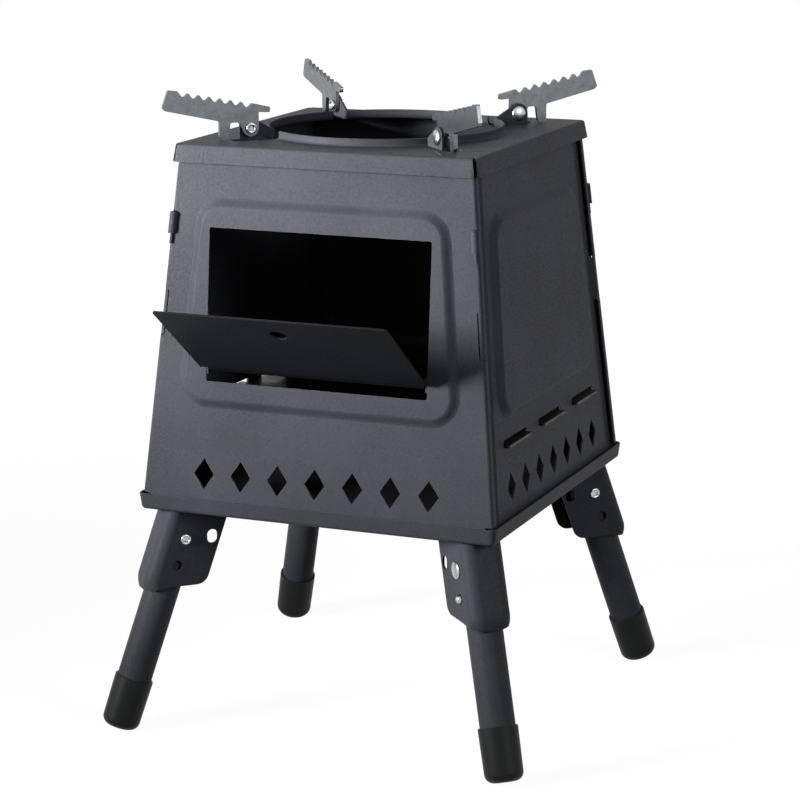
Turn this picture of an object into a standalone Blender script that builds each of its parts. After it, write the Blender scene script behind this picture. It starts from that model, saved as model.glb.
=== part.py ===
"""Folding camping wood stove standing on four splayed legs. Metres, +Z up, ground at z = 0."""

import math

import bmesh
import bpy
from mathutils import Matrix, Vector

# Sheet, clearances and facets
SHEET = 0.0012
GAP = 0.0003
THROUGH = 0.010
ARC_STEP = 30
SMALL_ARC = 0.0016
SMALL_STEP = 45
TURN_STEPS = 12
TUBE_STEPS = 20
BORE_STEPS = 12
TIP_SHARE = 0.05

# Splayed legs
LEG_SPLAY = 19.27
LEG_LENGTH = 0.1298
LEG_INSET = 0.0268
FOOT_LIFT = 0.00187
TUBE_RADIUS = 0.011
TUBE_WALL = 0.0012
TUBE_HEAD = 0.0114
CAP_RADIUS = 0.01235
CAP_TAPER = 0.00035
CAP_LENGTH = 0.0335
CAP_FLOOR = 0.0032
CAP_ROUND = 0.0056

# Folded brackets that carry the legs
BRACKET_SHEET = 0.0015
BRACKET_HALF = 0.0135
BRACKET_SPINE = 0.0158
BRACKET_REACH = 0.0224
BRACKET_BEND = 0.0075
BRACKET_NOSE_HALF = 0.0128
BRACKET_NOSE_DROP = 0.0300
BRACKET_NOSE_LENGTH = 0.0112
BRACKET_CHEEK_DROP = 0.0306
BRACKET_SPINE_DROP = 0.0349
BRACKET_CORNER = 0.008
BRACKET_RISE = 0.0190
LEG_SHANK = 0.0025
LEG_HEAD = 0.0055
LEG_HEAD_RISE = 0.0015
LEG_RING = 0.0034
LOCK_DISTANCE = 0.01775
LOCK_HOLE = 0.00325
LOCK_RADIUS = 0.00275
FOLD_SLOT_RADIUS = 0.0034
FOLD_SLOT_LENGTH = 0.009

# Tray under the firebox
TRAY_HALF = 0.120
TRAY_DRAFT = 0.0010
TRAY_LIP = 0.0107
TRAY_BEND = 0.0030
TRAY_CORNER = 0.0045

# Firebox walls, measured at the tray's rim
WALL_TAPER = 0.0945
WALL_HEIGHT = 0.2185
FACE_PLAY = 0.0023
SIDE_PLAY = 0.0012
FACE_FOOT = 0.0010
WALL_BEND = 0.0020
FLANGE_DEPTH = 0.0053
FLANGE_RELIEF = 0.0055
SIDE_RECESS = 0.0022
SIDE_MARGIN = 0.0135
SIDE_JOGGLE = 0.0013
JOGGLE_RUN = 0.0020

# Raised panels pressed into the walls, their edges slanting with the walls
FACE_EMBOSS_MARGIN = 0.0165
SIDE_EMBOSS_MARGIN = 0.0220
EMBOSS_LOW = 0.0564
FACE_EMBOSS_HIGH = 0.1869
SIDE_EMBOSS_HIGH = 0.1819
EMBOSS_RISE = 0.0035
EMBOSS_SLOPE = 0.0068
EMBOSS_CORNER = 0.019

# Air holes along the foot of each wall
DIAMOND_COUNT = 7
DIAMOND_PITCH = 0.0251
DIAMOND_WIDTH = 0.0135
DIAMOND_HEIGHT = 0.0195
DIAMOND_RISE = 0.0154

# Hooks of the side walls and the corner pins
HOOK_SHEET = 0.0011
HOOK_LOW = 0.0999
HOOK_HIGH = 0.1279
HOOK_ROOT = 0.0074
HOOK_CREST = 0.0046
HOOK_TURN = 0.0022
HOOK_CURL = 0.0014
HOOK_TIP = 0.0006
HOOK_NOTCH = 0.0034
BARREL_LOW = 0.1635
BARREL_HIGH = 0.1764
BARREL_RADIUS = 0.0025
BARREL_INSET = 0.0016
BARREL_OUT = 0.0009
PIN_RADIUS = 0.0010
PIN_LOW = 0.1569
PIN_PROUD = 0.0006

# Fuel opening and its door, the door measured from its hinge axis
OPENING_MARGIN = 0.0441
OPENING_LOW = 0.0739
OPENING_HEIGHT = 0.0945
OPENING_CORNER = 0.0015
DOOR_OVERLAP = 0.0017
DOOR_SHORT = 0.0031
DOOR_SHEET = 0.0013
DOOR_SHOULDER = 0.0065
DOOR_RAMP = 0.0020
DOOR_TONGUE_INSET = 0.0019
DOOR_CORNER = 0.0015
DOOR_FILLET = 0.0020
DOOR_HOLE_RADIUS = 0.0053
DOOR_HOLE_SETBACK = 0.019
DOOR_TILT = 53.5
HINGE_RISE = 0.0093
HINGE_BORE = 0.0015
HINGE_JOGGLE = 0.0012
HINGE_PIN_RADIUS = 0.0012
LUG_SHEET = 0.0016
LUG_RADIUS = 0.0046
LUG_SINK = 0.0004

# Fire grate on the side walls
SLOT_PITCH = 0.062
SLOT_HALF = 0.0205
SLOT_RISE = 0.0411
SLOT_HEIGHT = 0.0047
SLOT_CORNER = 0.0010
GRATE_SHEET = 0.0015
GRATE_PLAY = 0.0006
GRATE_TAB_HALF = 0.0200
GRATE_TAB_REACH = 0.0034
GRATE_CORNER = 0.0015
GRATE_HOLES = 5
GRATE_PITCH = 0.036
GRATE_HOLE_RADIUS = 0.0045

# Lid with its round opening
LID_SHEET = 0.0013
LID_PLAY = 0.00225
LID_FLARE = 0.0019
LID_SKIRT = 0.0111
LID_BEND = 0.0018
LID_CORNER = 0.0030
LID_SLIT = 0.0023
LID_SLIT_INSET = 0.0048
COLLAR_MARGIN = 0.0242
COLLAR_RISE = 0.0048
COLLAR_BEND = 0.0020

# Ears on the lid and the pot supports that turn on them
SUPPORT_OFFSET = 0.0156
SUPPORT_RISE = 0.0069
SUPPORT_SHEET = 0.0025
SUPPORT_LOBE = 0.0052
SUPPORT_SHANK = 0.0020
SUPPORT_HEAD = 0.00475
SUPPORT_HEAD_RISE = 0.0022
SUPPORT_RING = 0.0034
RIVET_LIP = 0.0011
EAR_SHEET = 0.0015
EAR_RADIUS = 0.0065
EAR_STEP = 0.0002
EAR_SLOT_WIDTH = 0.0092
EAR_SLOT_LENGTH = 0.0134

# Outline of a pot support, out and up from its pivot
CREST_OUT = 0.0470
CREST_UP = 0.0249
TIP_OUT = 0.0530
TIP_UP = 0.0257
END_OUT = 0.0569
END_UP = 0.0149
KEEL_OUT = 0.0550
KEEL_UP = 0.0129
TOOTH_PITCH = 0.00686
TOOTH_DEPTH = 0.0040
TOOTH_COUNT = 7
TOOTH_SLOPE = 11.3
VALLEY_RADIUS = 0.0020
TAIL_IN = 0.0127
TAIL_UP = 0.0126
TAIL_UNDER = 0.0091
NECK_UP = 0.0096
FOOT_IN = 0.0147
FOOT_OUT = 0.0205
FOOT_ROOT_UP = 0.0051
WEB_OUT = 0.0078
WEB_UP = 0.0038
WEB_END = 0.0132
SUPPORT_FILLET = 0.0012
FOOT_FILLET = 0.0024

CORNERS = (("front_right", -45), ("back_right", 45), ("back_left", 135), ("front_left", 225))

# Heights, from the ground up
LEG_PIVOT_LEVEL = LEG_LENGTH * math.cos(math.radians(LEG_SPLAY)) + FOOT_LIFT
TRAY_BOTTOM = LEG_PIVOT_LEVEL + BRACKET_RISE
TRAY_TOP = TRAY_BOTTOM + TRAY_LIP
TRAY_FLOOR = TRAY_BOTTOM + SHEET
FACE_BOTTOM = TRAY_FLOOR + FACE_FOOT
SIDE_BOTTOM = TRAY_FLOOR + GAP
SLOT_LOW = TRAY_TOP + SLOT_RISE
SILL = TRAY_TOP + OPENING_LOW
HINGE_LEVEL = SILL + HINGE_RISE
LID_TOP = TRAY_TOP + WALL_HEIGHT
PANEL_TOP = LID_TOP - LID_SHEET - GAP
SUPPORT_PIVOT_LEVEL = LID_TOP + SUPPORT_RISE

# Reaches, from the middle out
WALL_ANGLE = math.atan(WALL_TAPER)
FACE_REACH = TRAY_HALF - SHEET - FACE_PLAY
FACE_HALF = TRAY_HALF - SHEET - SIDE_PLAY
SIDE_REACH = FACE_HALF - SIDE_RECESS
LEG_PIVOT_REACH = TRAY_HALF * math.sqrt(2) - LEG_INSET
LID_HALF = FACE_HALF - WALL_TAPER * WALL_HEIGHT + LID_PLAY
COLLAR_RADIUS = LID_HALF - COLLAR_MARGIN
SUPPORT_PIVOT_REACH = COLLAR_RADIUS + SUPPORT_OFFSET
OPENING_HALF = FACE_HALF - OPENING_MARGIN
DOOR_HALF = OPENING_HALF + DOOR_OVERLAP
DOOR_TONGUE_HALF = OPENING_HALF - DOOR_TONGUE_INSET
DOOR_LENGTH = (OPENING_HEIGHT - HINGE_RISE) / math.cos(WALL_ANGLE) - DOOR_SHORT


def arc(x, y, radius, start, end, step=ARC_STEP):
    """Points of an arc from one angle in degrees to another, both ends included."""
    steps = max(2, math.ceil(abs(end - start) / step - 0.01))
    angles = [math.radians(start + (end - start) * i / steps) for i in range(steps + 1)]
    return [(x + radius * math.cos(a), y + radius * math.sin(a)) for a in angles]


def rounded(corners):
    """A closed outline from (x, y, radius) corners, each corner filleted by its radius."""
    points = []
    count = len(corners)
    for i, (x, y, radius) in enumerate(corners):
        here = Vector((x, y))
        if radius <= 0:
            points.append((x, y))
            continue
        back = (Vector(corners[i - 1][:2]) - here).normalized()
        ahead = (Vector(corners[(i + 1) % count][:2]) - here).normalized()
        half = back.angle(ahead) / 2
        centre = here + (back + ahead).normalized() * radius / math.sin(half)
        first = here + back * radius / math.tan(half) - centre
        last = here + ahead * radius / math.tan(half) - centre
        turn = first.angle_signed(last)
        step = SMALL_STEP if radius <= SMALL_ARC else ARC_STEP
        steps = max(1, math.ceil(abs(math.degrees(turn)) / step - 0.01))
        for k in range(steps + 1):
            a = -turn * k / steps
            spot = centre + Matrix.Rotation(a, 2) @ first
            points.append((spot.x, spot.y))
    return points


def circle(radius, x=0.0, y=0.0, steps=20):
    """A full circle as an outline."""
    angles = [2 * math.pi * (i + 0.5) / steps for i in range(steps)]
    return [(x + radius * math.cos(a), y + radius * math.sin(a)) for a in angles]


def rectangle(x0, x1, y0, y1, radius=0.0):
    """A rectangle as an outline, its corners filleted."""
    return rounded([(x0, y0, radius), (x1, y0, radius), (x1, y1, radius), (x0, y1, radius)])


def axes(x, y, z, origin=(0, 0, 0)):
    """A frame whose columns are the given axes."""
    frame = Matrix((x, y, z)).transposed().to_4x4()
    frame.translation = origin
    return frame


def solid(name, groups):
    """An object from groups of rings, each group lofted ring to ring and capped."""
    mesh = bpy.data.meshes.new(name)
    work = bmesh.new()
    for rings, closed in groups:
        loops = [[work.verts.new(p) for p in ring] for ring in rings]
        size = len(loops[0])
        pairs = list(zip(loops, loops[1:]))
        if closed:
            pairs.append((loops[-1], loops[0]))
        for low, high in pairs:
            for i in range(size):
                k = (i + 1) % size
                work.faces.new((low[i], low[k], high[k], high[i]))
        if not closed:
            work.faces.new(loops[0][::-1])
            work.faces.new(loops[-1])
    bmesh.ops.recalc_face_normals(work, faces=work.faces)
    work.to_mesh(mesh)
    work.free()
    body = bpy.data.objects.new(name, mesh)
    bpy.context.scene.collection.objects.link(body)
    return body


def prisms(name, outlines, low, high, frame=Matrix.Identity(4)):
    """Straight prisms on outlines in the frame's XY plane, from low to high along its Z."""
    groups = []
    for outline in outlines:
        rings = [[frame @ Vector((x, y, h)) for x, y in outline] for h in (low, high)]
        groups.append((rings, False))
    return solid(name, groups)


def prism(name, outline, low, high, frame=Matrix.Identity(4)):
    """One straight prism."""
    return prisms(name, [outline], low, high, frame)


def turned(name, profile, frame=Matrix.Identity(4), steps=TURN_STEPS):
    """A solid of revolution round the frame's Z from (radius, height) points, tips on the axis."""
    rings = []
    for radius, height in profile:
        rings.append([frame @ Vector((x, y, height)) for x, y in circle(radius, steps=steps)])
    return solid(name, [(rings, False)])


def bored(name, profile, frame=Matrix.Identity(4), steps=24):
    """A ring-shaped solid of revolution round the frame's Z from a closed profile."""
    rings = []
    for radius, height in profile:
        rings.append([frame @ Vector((x, y, height)) for x, y in circle(radius, steps=steps)])
    return solid(name, [(rings, True)])


def drop(body):
    """Remove a tool that has done its work."""
    mesh = body.data
    bpy.data.objects.remove(body)
    bpy.data.meshes.remove(mesh)


def combine(body, tool, operation):
    """Apply one exact Boolean to the body and remove the tool."""
    modifier = body.modifiers.new(operation, "BOOLEAN")
    modifier.object = tool
    modifier.operation = operation
    modifier.solver = "EXACT"
    bpy.context.view_layer.update()
    graph = bpy.context.evaluated_depsgraph_get()
    shaped = bpy.data.meshes.new_from_object(body.evaluated_get(graph))
    body.modifiers.clear()
    rough = body.data
    body.data = shaped
    bpy.data.meshes.remove(rough)
    drop(tool)


def cut(body, tool):
    """Take the tool's volume away."""
    combine(body, tool, "DIFFERENCE")


def weld(body, tool):
    """Join the tool's volume on."""
    combine(body, tool, "UNION")


def material(name, colour, roughness, metallic):
    """A plain Principled material."""
    made = bpy.data.materials.new(name)
    made.use_nodes = True
    shader = made.node_tree.nodes["Principled BSDF"]
    shader.inputs["Base Color"].default_value = (*colour, 1)
    shader.inputs["Roughness"].default_value = roughness
    shader.inputs["Metallic"].default_value = metallic
    return made


def empty(name, parent=None, location=(0, 0, 0), turn=0.0):
    """An empty that carries a group of pieces."""
    made = bpy.data.objects.new(name, None)
    bpy.context.scene.collection.objects.link(made)
    made.parent = parent
    made.location = location
    made.rotation_euler.z = math.radians(turn)
    return made


def finish(body, look, parent, location=(0, 0, 0), rotation=(0, 0, 0)):
    """Give a piece its material and shading and put it in its place."""
    body.data.materials.clear()
    body.data.materials.append(look)
    body.data.shade_smooth()
    body.data.set_sharp_from_angle(angle=math.radians(35))
    body.parent = parent
    body.location = location
    body.rotation_euler = rotation
    return body


def repeat(body, name, parent, location, rotation=(0, 0, 0)):
    """Another piece of the same mesh."""
    twin = bpy.data.objects.new(name, body.data)
    bpy.context.scene.collection.objects.link(twin)
    twin.parent = parent
    twin.location = location
    twin.rotation_euler = rotation
    return twin


def square_ring(half, radius, z, arc_steps=4, side_steps=1):
    """A rounded square at one height, with the same number of points whatever its size."""
    corners = []
    for k in range(4):
        turn = Matrix.Rotation(math.pi / 2 * k, 2)
        side = half - radius
        for i in range(arc_steps + 1):
            a = math.pi / 2 * i / arc_steps
            corners.append(turn @ Vector((side + radius * math.cos(a), side + radius * math.sin(a))))
    ring = []
    for i, point in enumerate(corners):
        ring.append(point)
        if i % (arc_steps + 1) == arc_steps:
            after = corners[(i + 1) % len(corners)]
            ring += [point.lerp(after, j / side_steps) for j in range(1, side_steps)]
    return [Vector((p.x, p.y, z)) for p in ring]


def round_ring(radius, z, arc_steps=4, side_steps=1):
    """A circle at one height whose points match those of a square ring."""
    count = 4 * (arc_steps + side_steps)
    ring = []
    for i in range(count):
        a = math.pi / 4 + (i - arc_steps / 2) * 2 * math.pi / count
        ring.append(Vector((radius * math.cos(a), radius * math.sin(a), z)))
    return ring


def wall_prism(name, section, low, high):
    """A tapered prism: section points are (x, y, side) at the height of the tray's rim, facing -Y.

    All points lean inward as they rise. Points with side 1 or -1 also follow that edge of the wall.
    """
    rings = []
    for z in (low, high):
        lean = WALL_TAPER * (z - TRAY_TOP)
        rings.append([Vector((x - side * lean, y + lean, z)) for x, y, side in section])
    return solid(name, [(rings, False)])


def wall_frame(reach):
    """The frame of a wall's outer face: X along it, Y up its slope, Z out of it."""
    sine, cosine = math.sin(WALL_ANGLE), math.cos(WALL_ANGLE)
    return axes((1, 0, 0), (0, sine, cosine), (0, -cosine, sine), (0, -reach, TRAY_TOP))


def up_wall(z, out=0.0):
    """Distance up the slope of a wall at which a point, out of its face, has height z."""
    return (z - TRAY_TOP - out * math.sin(WALL_ANGLE)) / math.cos(WALL_ANGLE)


def emboss(wall, half, rise, reach):
    """Press a raised panel with sloping edges out of a wall, narrowing upward with it."""
    frame = wall_frame(reach)
    low, high = up_wall(TRAY_TOP + EMBOSS_LOW), up_wall(TRAY_TOP + rise)
    narrowing = math.sin(WALL_ANGLE)

    def ring(inset, level):
        foot, head = low + inset, high - inset
        wide, narrow = half - narrowing * foot - inset, half - narrowing * head - inset
        radius = EMBOSS_CORNER - inset
        outline = rounded([(-wide, foot, radius), (wide, foot, radius),
                           (narrow, head, radius), (-narrow, head, radius)])
        return [frame @ Vector((x, y, level)) for x, y in outline]

    steps = [(EMBOSS_SLOPE * f, EMBOSS_RISE * (1 - math.cos(math.pi * f)) / 2) for f in (0.35, 0.65, 1)]
    outer = [ring(0, -SHEET / 2)] + [ring(inset, level) for inset, level in steps]
    inner = [ring(0, -SHEET * 3 / 2)] + [ring(inset, level - SHEET) for inset, level in steps]
    weld(wall, solid("swell", [(outer, False)]))
    cut(wall, solid("hollow", [(inner, False)]))


def pierce_diamonds(wall, reach):
    """Cut the row of diamond air holes along the foot of a wall."""
    level = up_wall(TRAY_TOP + DIAMOND_RISE)
    outlines = []
    for i in range(DIAMOND_COUNT):
        x = (i - (DIAMOND_COUNT - 1) / 2) * DIAMOND_PITCH
        outlines.append([
            (x - DIAMOND_WIDTH / 2, level),
            (x, level - DIAMOND_HEIGHT / 2),
            (x + DIAMOND_WIDTH / 2, level),
            (x, level + DIAMOND_HEIGHT / 2),
        ])
    cut(wall, prisms("diamonds", outlines, -3 * SHEET, 3 * SHEET, wall_frame(reach)))


def mirror_section(section):
    """The same section on the other side of a wall."""
    return [(-x, y, -side) for x, y, side in reversed(section)]


def anchored(points, side=1):
    """Section points that follow one edge of a wall."""
    return [(x, y, side) for x, y in points]


def face_wall(name):
    """Front or back wall: a slanted sheet with edges folded back, raised panel and pin barrels."""
    half, face = FACE_HALF, -FACE_REACH
    bend = (half - WALL_BEND, face + WALL_BEND)
    outer = arc(*bend, WALL_BEND, -90, 0) + [(half, face + FLANGE_DEPTH)]
    inner = arc(*bend, WALL_BEND - SHEET, -90, 0) + [(half - SHEET, face + FLANGE_DEPTH)]
    right = anchored(outer) + anchored(inner[::-1])
    left_outer = mirror_section(anchored(outer))
    left_inner = mirror_section(anchored(inner[::-1]))
    wall = wall_prism(name, left_outer + right + left_inner, FACE_BOTTOM, PANEL_TOP)
    emboss(wall, FACE_HALF - FACE_EMBOSS_MARGIN, FACE_EMBOSS_HIGH, FACE_REACH)
    pierce_diamonds(wall, FACE_REACH)
    reach = 2 * FLANGE_DEPTH
    foot = rectangle(half - FLANGE_RELIEF, half + reach, face - reach, face + reach)
    notch = rectangle(half - HOOK_NOTCH, half + reach, face - reach, face + reach)
    barrel = circle(BARREL_RADIUS, half - BARREL_INSET, face - BARREL_OUT)
    bore = circle(PIN_RADIUS + GAP, half - BARREL_INSET, face - BARREL_OUT, BORE_STEPS)
    low, high = TRAY_TOP + BARREL_LOW, TRAY_TOP + BARREL_HIGH
    hook_low, hook_high = TRAY_TOP + HOOK_LOW - GAP, TRAY_TOP + HOOK_HIGH + GAP
    for flip in (list, mirror_section):
        cut(wall, wall_prism("relief", flip(anchored(foot)), TRAY_BOTTOM, TRAY_TOP + GAP))
        cut(wall, wall_prism("notch", flip(anchored(notch)), hook_low, hook_high))
        weld(wall, wall_prism("barrel", flip(anchored(barrel)), low, high))
        cut(wall, wall_prism("bore", flip(anchored(bore)), TRAY_TOP + PIN_LOW - GAP, high + SHEET))
    return wall


def side_wall(name):
    """Side wall: a flat sheet with stepped margins, hooks for the corners and slots for the grate."""
    end = FACE_REACH - SHEET - GAP
    face = -SIDE_REACH
    turn = end - SIDE_MARGIN
    step = face + SIDE_JOGGLE
    outer = [(turn - JOGGLE_RUN / 2, face, 1), (turn + JOGGLE_RUN / 2, step, 1), (end, step, 1)]
    inner = [(x, y + SHEET, side) for x, y, side in reversed(outer)]
    section = mirror_section(outer) + outer + inner + mirror_section(inner)
    wall = wall_prism(name, section, SIDE_BOTTOM, PANEL_TOP)
    emboss(wall, FACE_REACH - SIDE_EMBOSS_MARGIN, SIDE_EMBOSS_HIGH, SIDE_REACH)
    pierce_diamonds(wall, SIDE_REACH)
    middle = step + SHEET / 2
    crest = -FACE_HALF + SHEET / 2
    fold = FACE_REACH - HOOK_TURN
    path = [(FACE_REACH - HOOK_ROOT, middle), (FACE_REACH - HOOK_CREST, crest), (fold, crest)]
    path += arc(fold, crest + HOOK_CURL, HOOK_CURL, -90, 0)[1:]
    path += [(fold + HOOK_CURL, crest + HOOK_CURL + HOOK_TIP)]
    hook = anchored(strip(path, HOOK_SHEET))
    for flip in (list, mirror_section):
        weld(wall, wall_prism("hook", flip(hook), TRAY_TOP + HOOK_LOW, TRAY_TOP + HOOK_HIGH))
    low, high = up_wall(SLOT_LOW), up_wall(SLOT_LOW + SLOT_HEIGHT)
    outlines = []
    for i in (-1, 0, 1):
        x = i * SLOT_PITCH
        outlines.append(rectangle(x - SLOT_HALF, x + SLOT_HALF, low, high, SLOT_CORNER))
    cut(wall, prisms("slots", outlines, -3 * SHEET, 3 * SHEET, wall_frame(SIDE_REACH)))
    return wall


def strip(path, thickness):
    """The outline of a sheet of even thickness along a path."""
    left, right = [], []
    for i, point in enumerate(path):
        here = Vector(point)
        before = Vector(path[max(i - 1, 0)])
        after = Vector(path[min(i + 1, len(path) - 1)])
        along = (after - before).normalized()
        if 0 < i < len(path) - 1:
            bend = (after - here).normalized().dot(along)
        else:
            bend = 1.0
        aside = Vector((-along.y, along.x)) * thickness / 2 / max(bend, 0.5)
        left.append(tuple(here + aside))
        right.append(tuple(here - aside))
    return left + right[::-1]


def hinge_axis():
    """Where the door's pin runs: distance up the wall, out of its face, and the point itself."""
    out = EMBOSS_RISE + GAP - HINGE_JOGGLE - HINGE_BORE
    up = up_wall(HINGE_LEVEL, out)
    return up, out, wall_frame(FACE_REACH) @ Vector((0, up, out))


def open_doorway(wall):
    """Cut the fuel opening in the front wall and fold in the two lugs of the door's pin."""
    frame = wall_frame(FACE_REACH)
    up, out, axis = hinge_axis()
    low, high = up_wall(SILL), up_wall(SILL + OPENING_HEIGHT)
    outline = rectangle(-OPENING_HALF, OPENING_HALF, low, high, OPENING_CORNER)
    cut(wall, prism("doorway", outline, -THROUGH, THROUGH, frame))
    front = EMBOSS_RISE - SHEET / 4
    lug = [(front, up + LUG_RADIUS), (out, up + LUG_RADIUS)]
    lug += arc(out, up, LUG_RADIUS, 90, 270)[1:]
    lug += [(front, up - LUG_RADIUS)]
    sideways = frame @ axes((0, 0, 1), (0, 1, 0), (-1, 0, 0))
    edge = OPENING_HALF + LUG_SINK
    bore = circle(HINGE_PIN_RADIUS + GAP, out, up, BORE_STEPS)
    for side in (-1, 1):
        low, high = sorted((side * (edge - LUG_SHEET), side * edge))
        weld(wall, prism("lug", lug, low, high, sideways))
    cut(wall, prism("lug_bore", bore, -edge - LUG_SHEET, edge + LUG_SHEET, sideways))


def make_door():
    """Fuel door lying along +Z from its hinge axis, with its outer face to -Y."""
    plate_in = HINGE_BORE + HINGE_JOGGLE
    plate_out = plate_in + DOOR_SHEET
    curl = HINGE_BORE + DOOR_SHEET
    meet = math.sqrt(curl ** 2 - HINGE_BORE ** 2)
    start = math.degrees(math.atan2(HINGE_BORE, meet))
    low = DOOR_SHOULDER - DOOR_RAMP
    profile = [(DOOR_LENGTH, plate_out), (DOOR_SHOULDER, plate_out), (low, curl)]
    profile += arc(0, 0, curl, 90, 360 + start)
    profile += [(low, HINGE_BORE), (DOOR_SHOULDER, plate_in), (DOOR_LENGTH, plate_in)]
    side = axes((0, 0, 1), (0, -1, 0), (1, 0, 0))
    door = prism("door", profile, -DOOR_HALF, DOOR_HALF, side)
    beyond = DOOR_HALF + THROUGH
    cut(door, prism("knuckle_bore", circle(HINGE_BORE, steps=BORE_STEPS), -beyond, beyond, side))
    flat = axes((1, 0, 0), (0, 0, 1), (0, -1, 0))
    inner, shoulder = DOOR_TONGUE_HALF, DOOR_SHOULDER
    for sign in (-1, 1):
        corner = rounded([(sign * inner, -THROUGH, 0), (sign * beyond, -THROUGH, 0),
                          (sign * beyond, shoulder, 0), (sign * inner, shoulder, DOOR_FILLET)])
        cut(door, prism("step", corner, -THROUGH, THROUGH, flat))
        centre = (DOOR_HALF - DOOR_CORNER, DOOR_LENGTH - DOOR_CORNER)
        tip = [(beyond, DOOR_LENGTH + DOOR_CORNER), (centre[0], DOOR_LENGTH + DOOR_CORNER)]
        tip += arc(*centre, DOOR_CORNER, 90, 0) + [(beyond, centre[1])]
        cut(door, prism("tip", [(sign * x, y) for x, y in tip], -THROUGH, THROUGH, flat))
    hole = circle(DOOR_HOLE_RADIUS, 0, DOOR_LENGTH - DOOR_HOLE_SETBACK)
    cut(door, prism("finger_hole", hole, -THROUGH, THROUGH, flat))
    return door


def make_tray():
    """Shallow pan with an upright lip."""
    centre = (TRAY_HALF - TRAY_DRAFT - TRAY_BEND, TRAY_BOTTOM + TRAY_BEND)
    spare = TRAY_HALF - TRAY_CORNER
    outer = arc(*centre, TRAY_BEND, -90, 0) + [(TRAY_HALF, TRAY_TOP)]
    inner = arc(*centre, TRAY_BEND - SHEET, -90, 0) + [(TRAY_HALF - SHEET, TRAY_TOP)]
    rings = [square_ring(half, half - spare, z) for half, z in outer + inner[::-1]]
    return solid("tray", [(rings, False)])


def make_grate():
    """Perforated plate whose tabs pass through the slots of the side walls."""
    level = SLOT_LOW + GAP
    lean = WALL_TAPER * (level - TRAY_TOP)
    wide = SIDE_REACH - SHEET - lean - GRATE_PLAY
    deep = FACE_REACH - SHEET - lean - GRATE_PLAY
    edge = SIDE_REACH - lean + GRATE_TAB_REACH
    side_cut = wide - SIDE_JOGGLE
    step = deep - SIDE_MARGIN - JOGGLE_RUN
    half = [(side_cut, -deep, GRATE_CORNER), (side_cut, -step, 0), (wide, -step, 0)]
    for i in (-1, 0, 1):
        y = i * SLOT_PITCH
        low, high = y - GRATE_TAB_HALF, y + GRATE_TAB_HALF
        half += [(wide, low, 0), (edge, low, GRATE_CORNER), (edge, high, GRATE_CORNER), (wide, high, 0)]
    half += [(wide, step, 0), (side_cut, step, 0), (side_cut, deep, GRATE_CORNER)]
    outline = rounded(half + [(-x, -y, radius) for x, y, radius in half])
    grate = prism("grate", outline, level, level + GRATE_SHEET)
    middle = (GRATE_HOLES - 1) / 2
    holes = []
    for i in range(GRATE_HOLES):
        for k in range(GRATE_HOLES):
            x, y = (i - middle) * GRATE_PITCH, (k - middle) * GRATE_PITCH
            holes.append(circle(GRATE_HOLE_RADIUS, x, y, 8))
    cut(grate, prisms("holes", holes, level - GRATE_SHEET, level + 2 * GRATE_SHEET))
    return grate


def radial(angle=0.0, reach=0.0, level=0.0):
    """The upright plane of a diagonal: X outward, Y up; its Z points clockwise seen from above."""
    plane = axes((1, 0, 0), (0, 0, 1), (0, -1, 0), (reach, 0, level))
    return Matrix.Rotation(math.radians(angle), 4, "Z") @ plane


def make_lid():
    """Lid pan with skirt, collar round the opening, slots and four ears."""
    arc_steps, side_steps = 3, 11
    rings = []

    def square(half, z):
        radius = max(LID_CORNER + half - LID_HALF, LID_CORNER / 4)
        rings.append(square_ring(half, radius, z, arc_steps, side_steps))

    bend = (LID_HALF - LID_BEND, LID_TOP - LID_BEND)
    square(LID_HALF + LID_FLARE, LID_TOP - LID_SKIRT)
    for half, z in arc(*bend, LID_BEND, 0, 90, SMALL_STEP):
        square(half, z)
    curl = (COLLAR_RADIUS + COLLAR_BEND, LID_TOP + COLLAR_BEND)
    for radius, z in arc(*curl, COLLAR_BEND, 270, 180, SMALL_STEP):
        rings.append(round_ring(radius, z, arc_steps, side_steps))
    rings.append(round_ring(COLLAR_RADIUS, LID_TOP + COLLAR_RISE, arc_steps, side_steps))
    rings.append(round_ring(COLLAR_RADIUS - LID_SHEET, LID_TOP + COLLAR_RISE, arc_steps, side_steps))
    for radius, z in arc(*curl, COLLAR_BEND + LID_SHEET, 180, 270, SMALL_STEP):
        rings.append(round_ring(radius, z, arc_steps, side_steps))
    for half, z in arc(*bend, LID_BEND - LID_SHEET, 90, 0, SMALL_STEP):
        square(half, z)
    square(LID_HALF + LID_FLARE - LID_SHEET, LID_TOP - LID_SKIRT)
    lid = solid("lid", [(rings, True)])
    ear_face = SUPPORT_SHEET / 2 + GAP
    slot_edge = ear_face + EAR_STEP
    reach, level = SUPPORT_PIVOT_REACH, SUPPORT_PIVOT_LEVEL
    collar_mid = COLLAR_RADIUS - LID_SHEET / 2
    root = LID_TOP - LID_SHEET / 2
    ear = [(collar_mid, root), (reach + EAR_RADIUS, root)]
    ear += arc(reach, level, EAR_RADIUS, 0, 112)
    ear += [(collar_mid, LID_TOP + COLLAR_RISE - EAR_STEP)]
    low, high = LID_TOP - LID_SKIRT - THROUGH, LID_TOP + THROUGH
    corner = LID_HALF * math.sqrt(2)
    slit = rectangle(corner - LID_SLIT_INSET, corner + THROUGH, low, high)
    slot = rectangle(COLLAR_RADIUS - THROUGH, reach + EAR_SLOT_LENGTH, low, high)
    bore = circle(SUPPORT_SHANK + GAP, reach, level, BORE_STEPS)
    for _, angle in CORNERS:
        plane = radial(angle)
        cut(lid, prism("slit", slit, -LID_SLIT / 2, LID_SLIT / 2, plane))
        cut(lid, prism("slot", slot, slot_edge - EAR_SLOT_WIDTH, slot_edge, plane))
        weld(lid, prism("ear", ear, ear_face, ear_face + EAR_SHEET, plane))
        cut(lid, prism("ear_bore", bore, 0, THROUGH, plane))
    return lid


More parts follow.
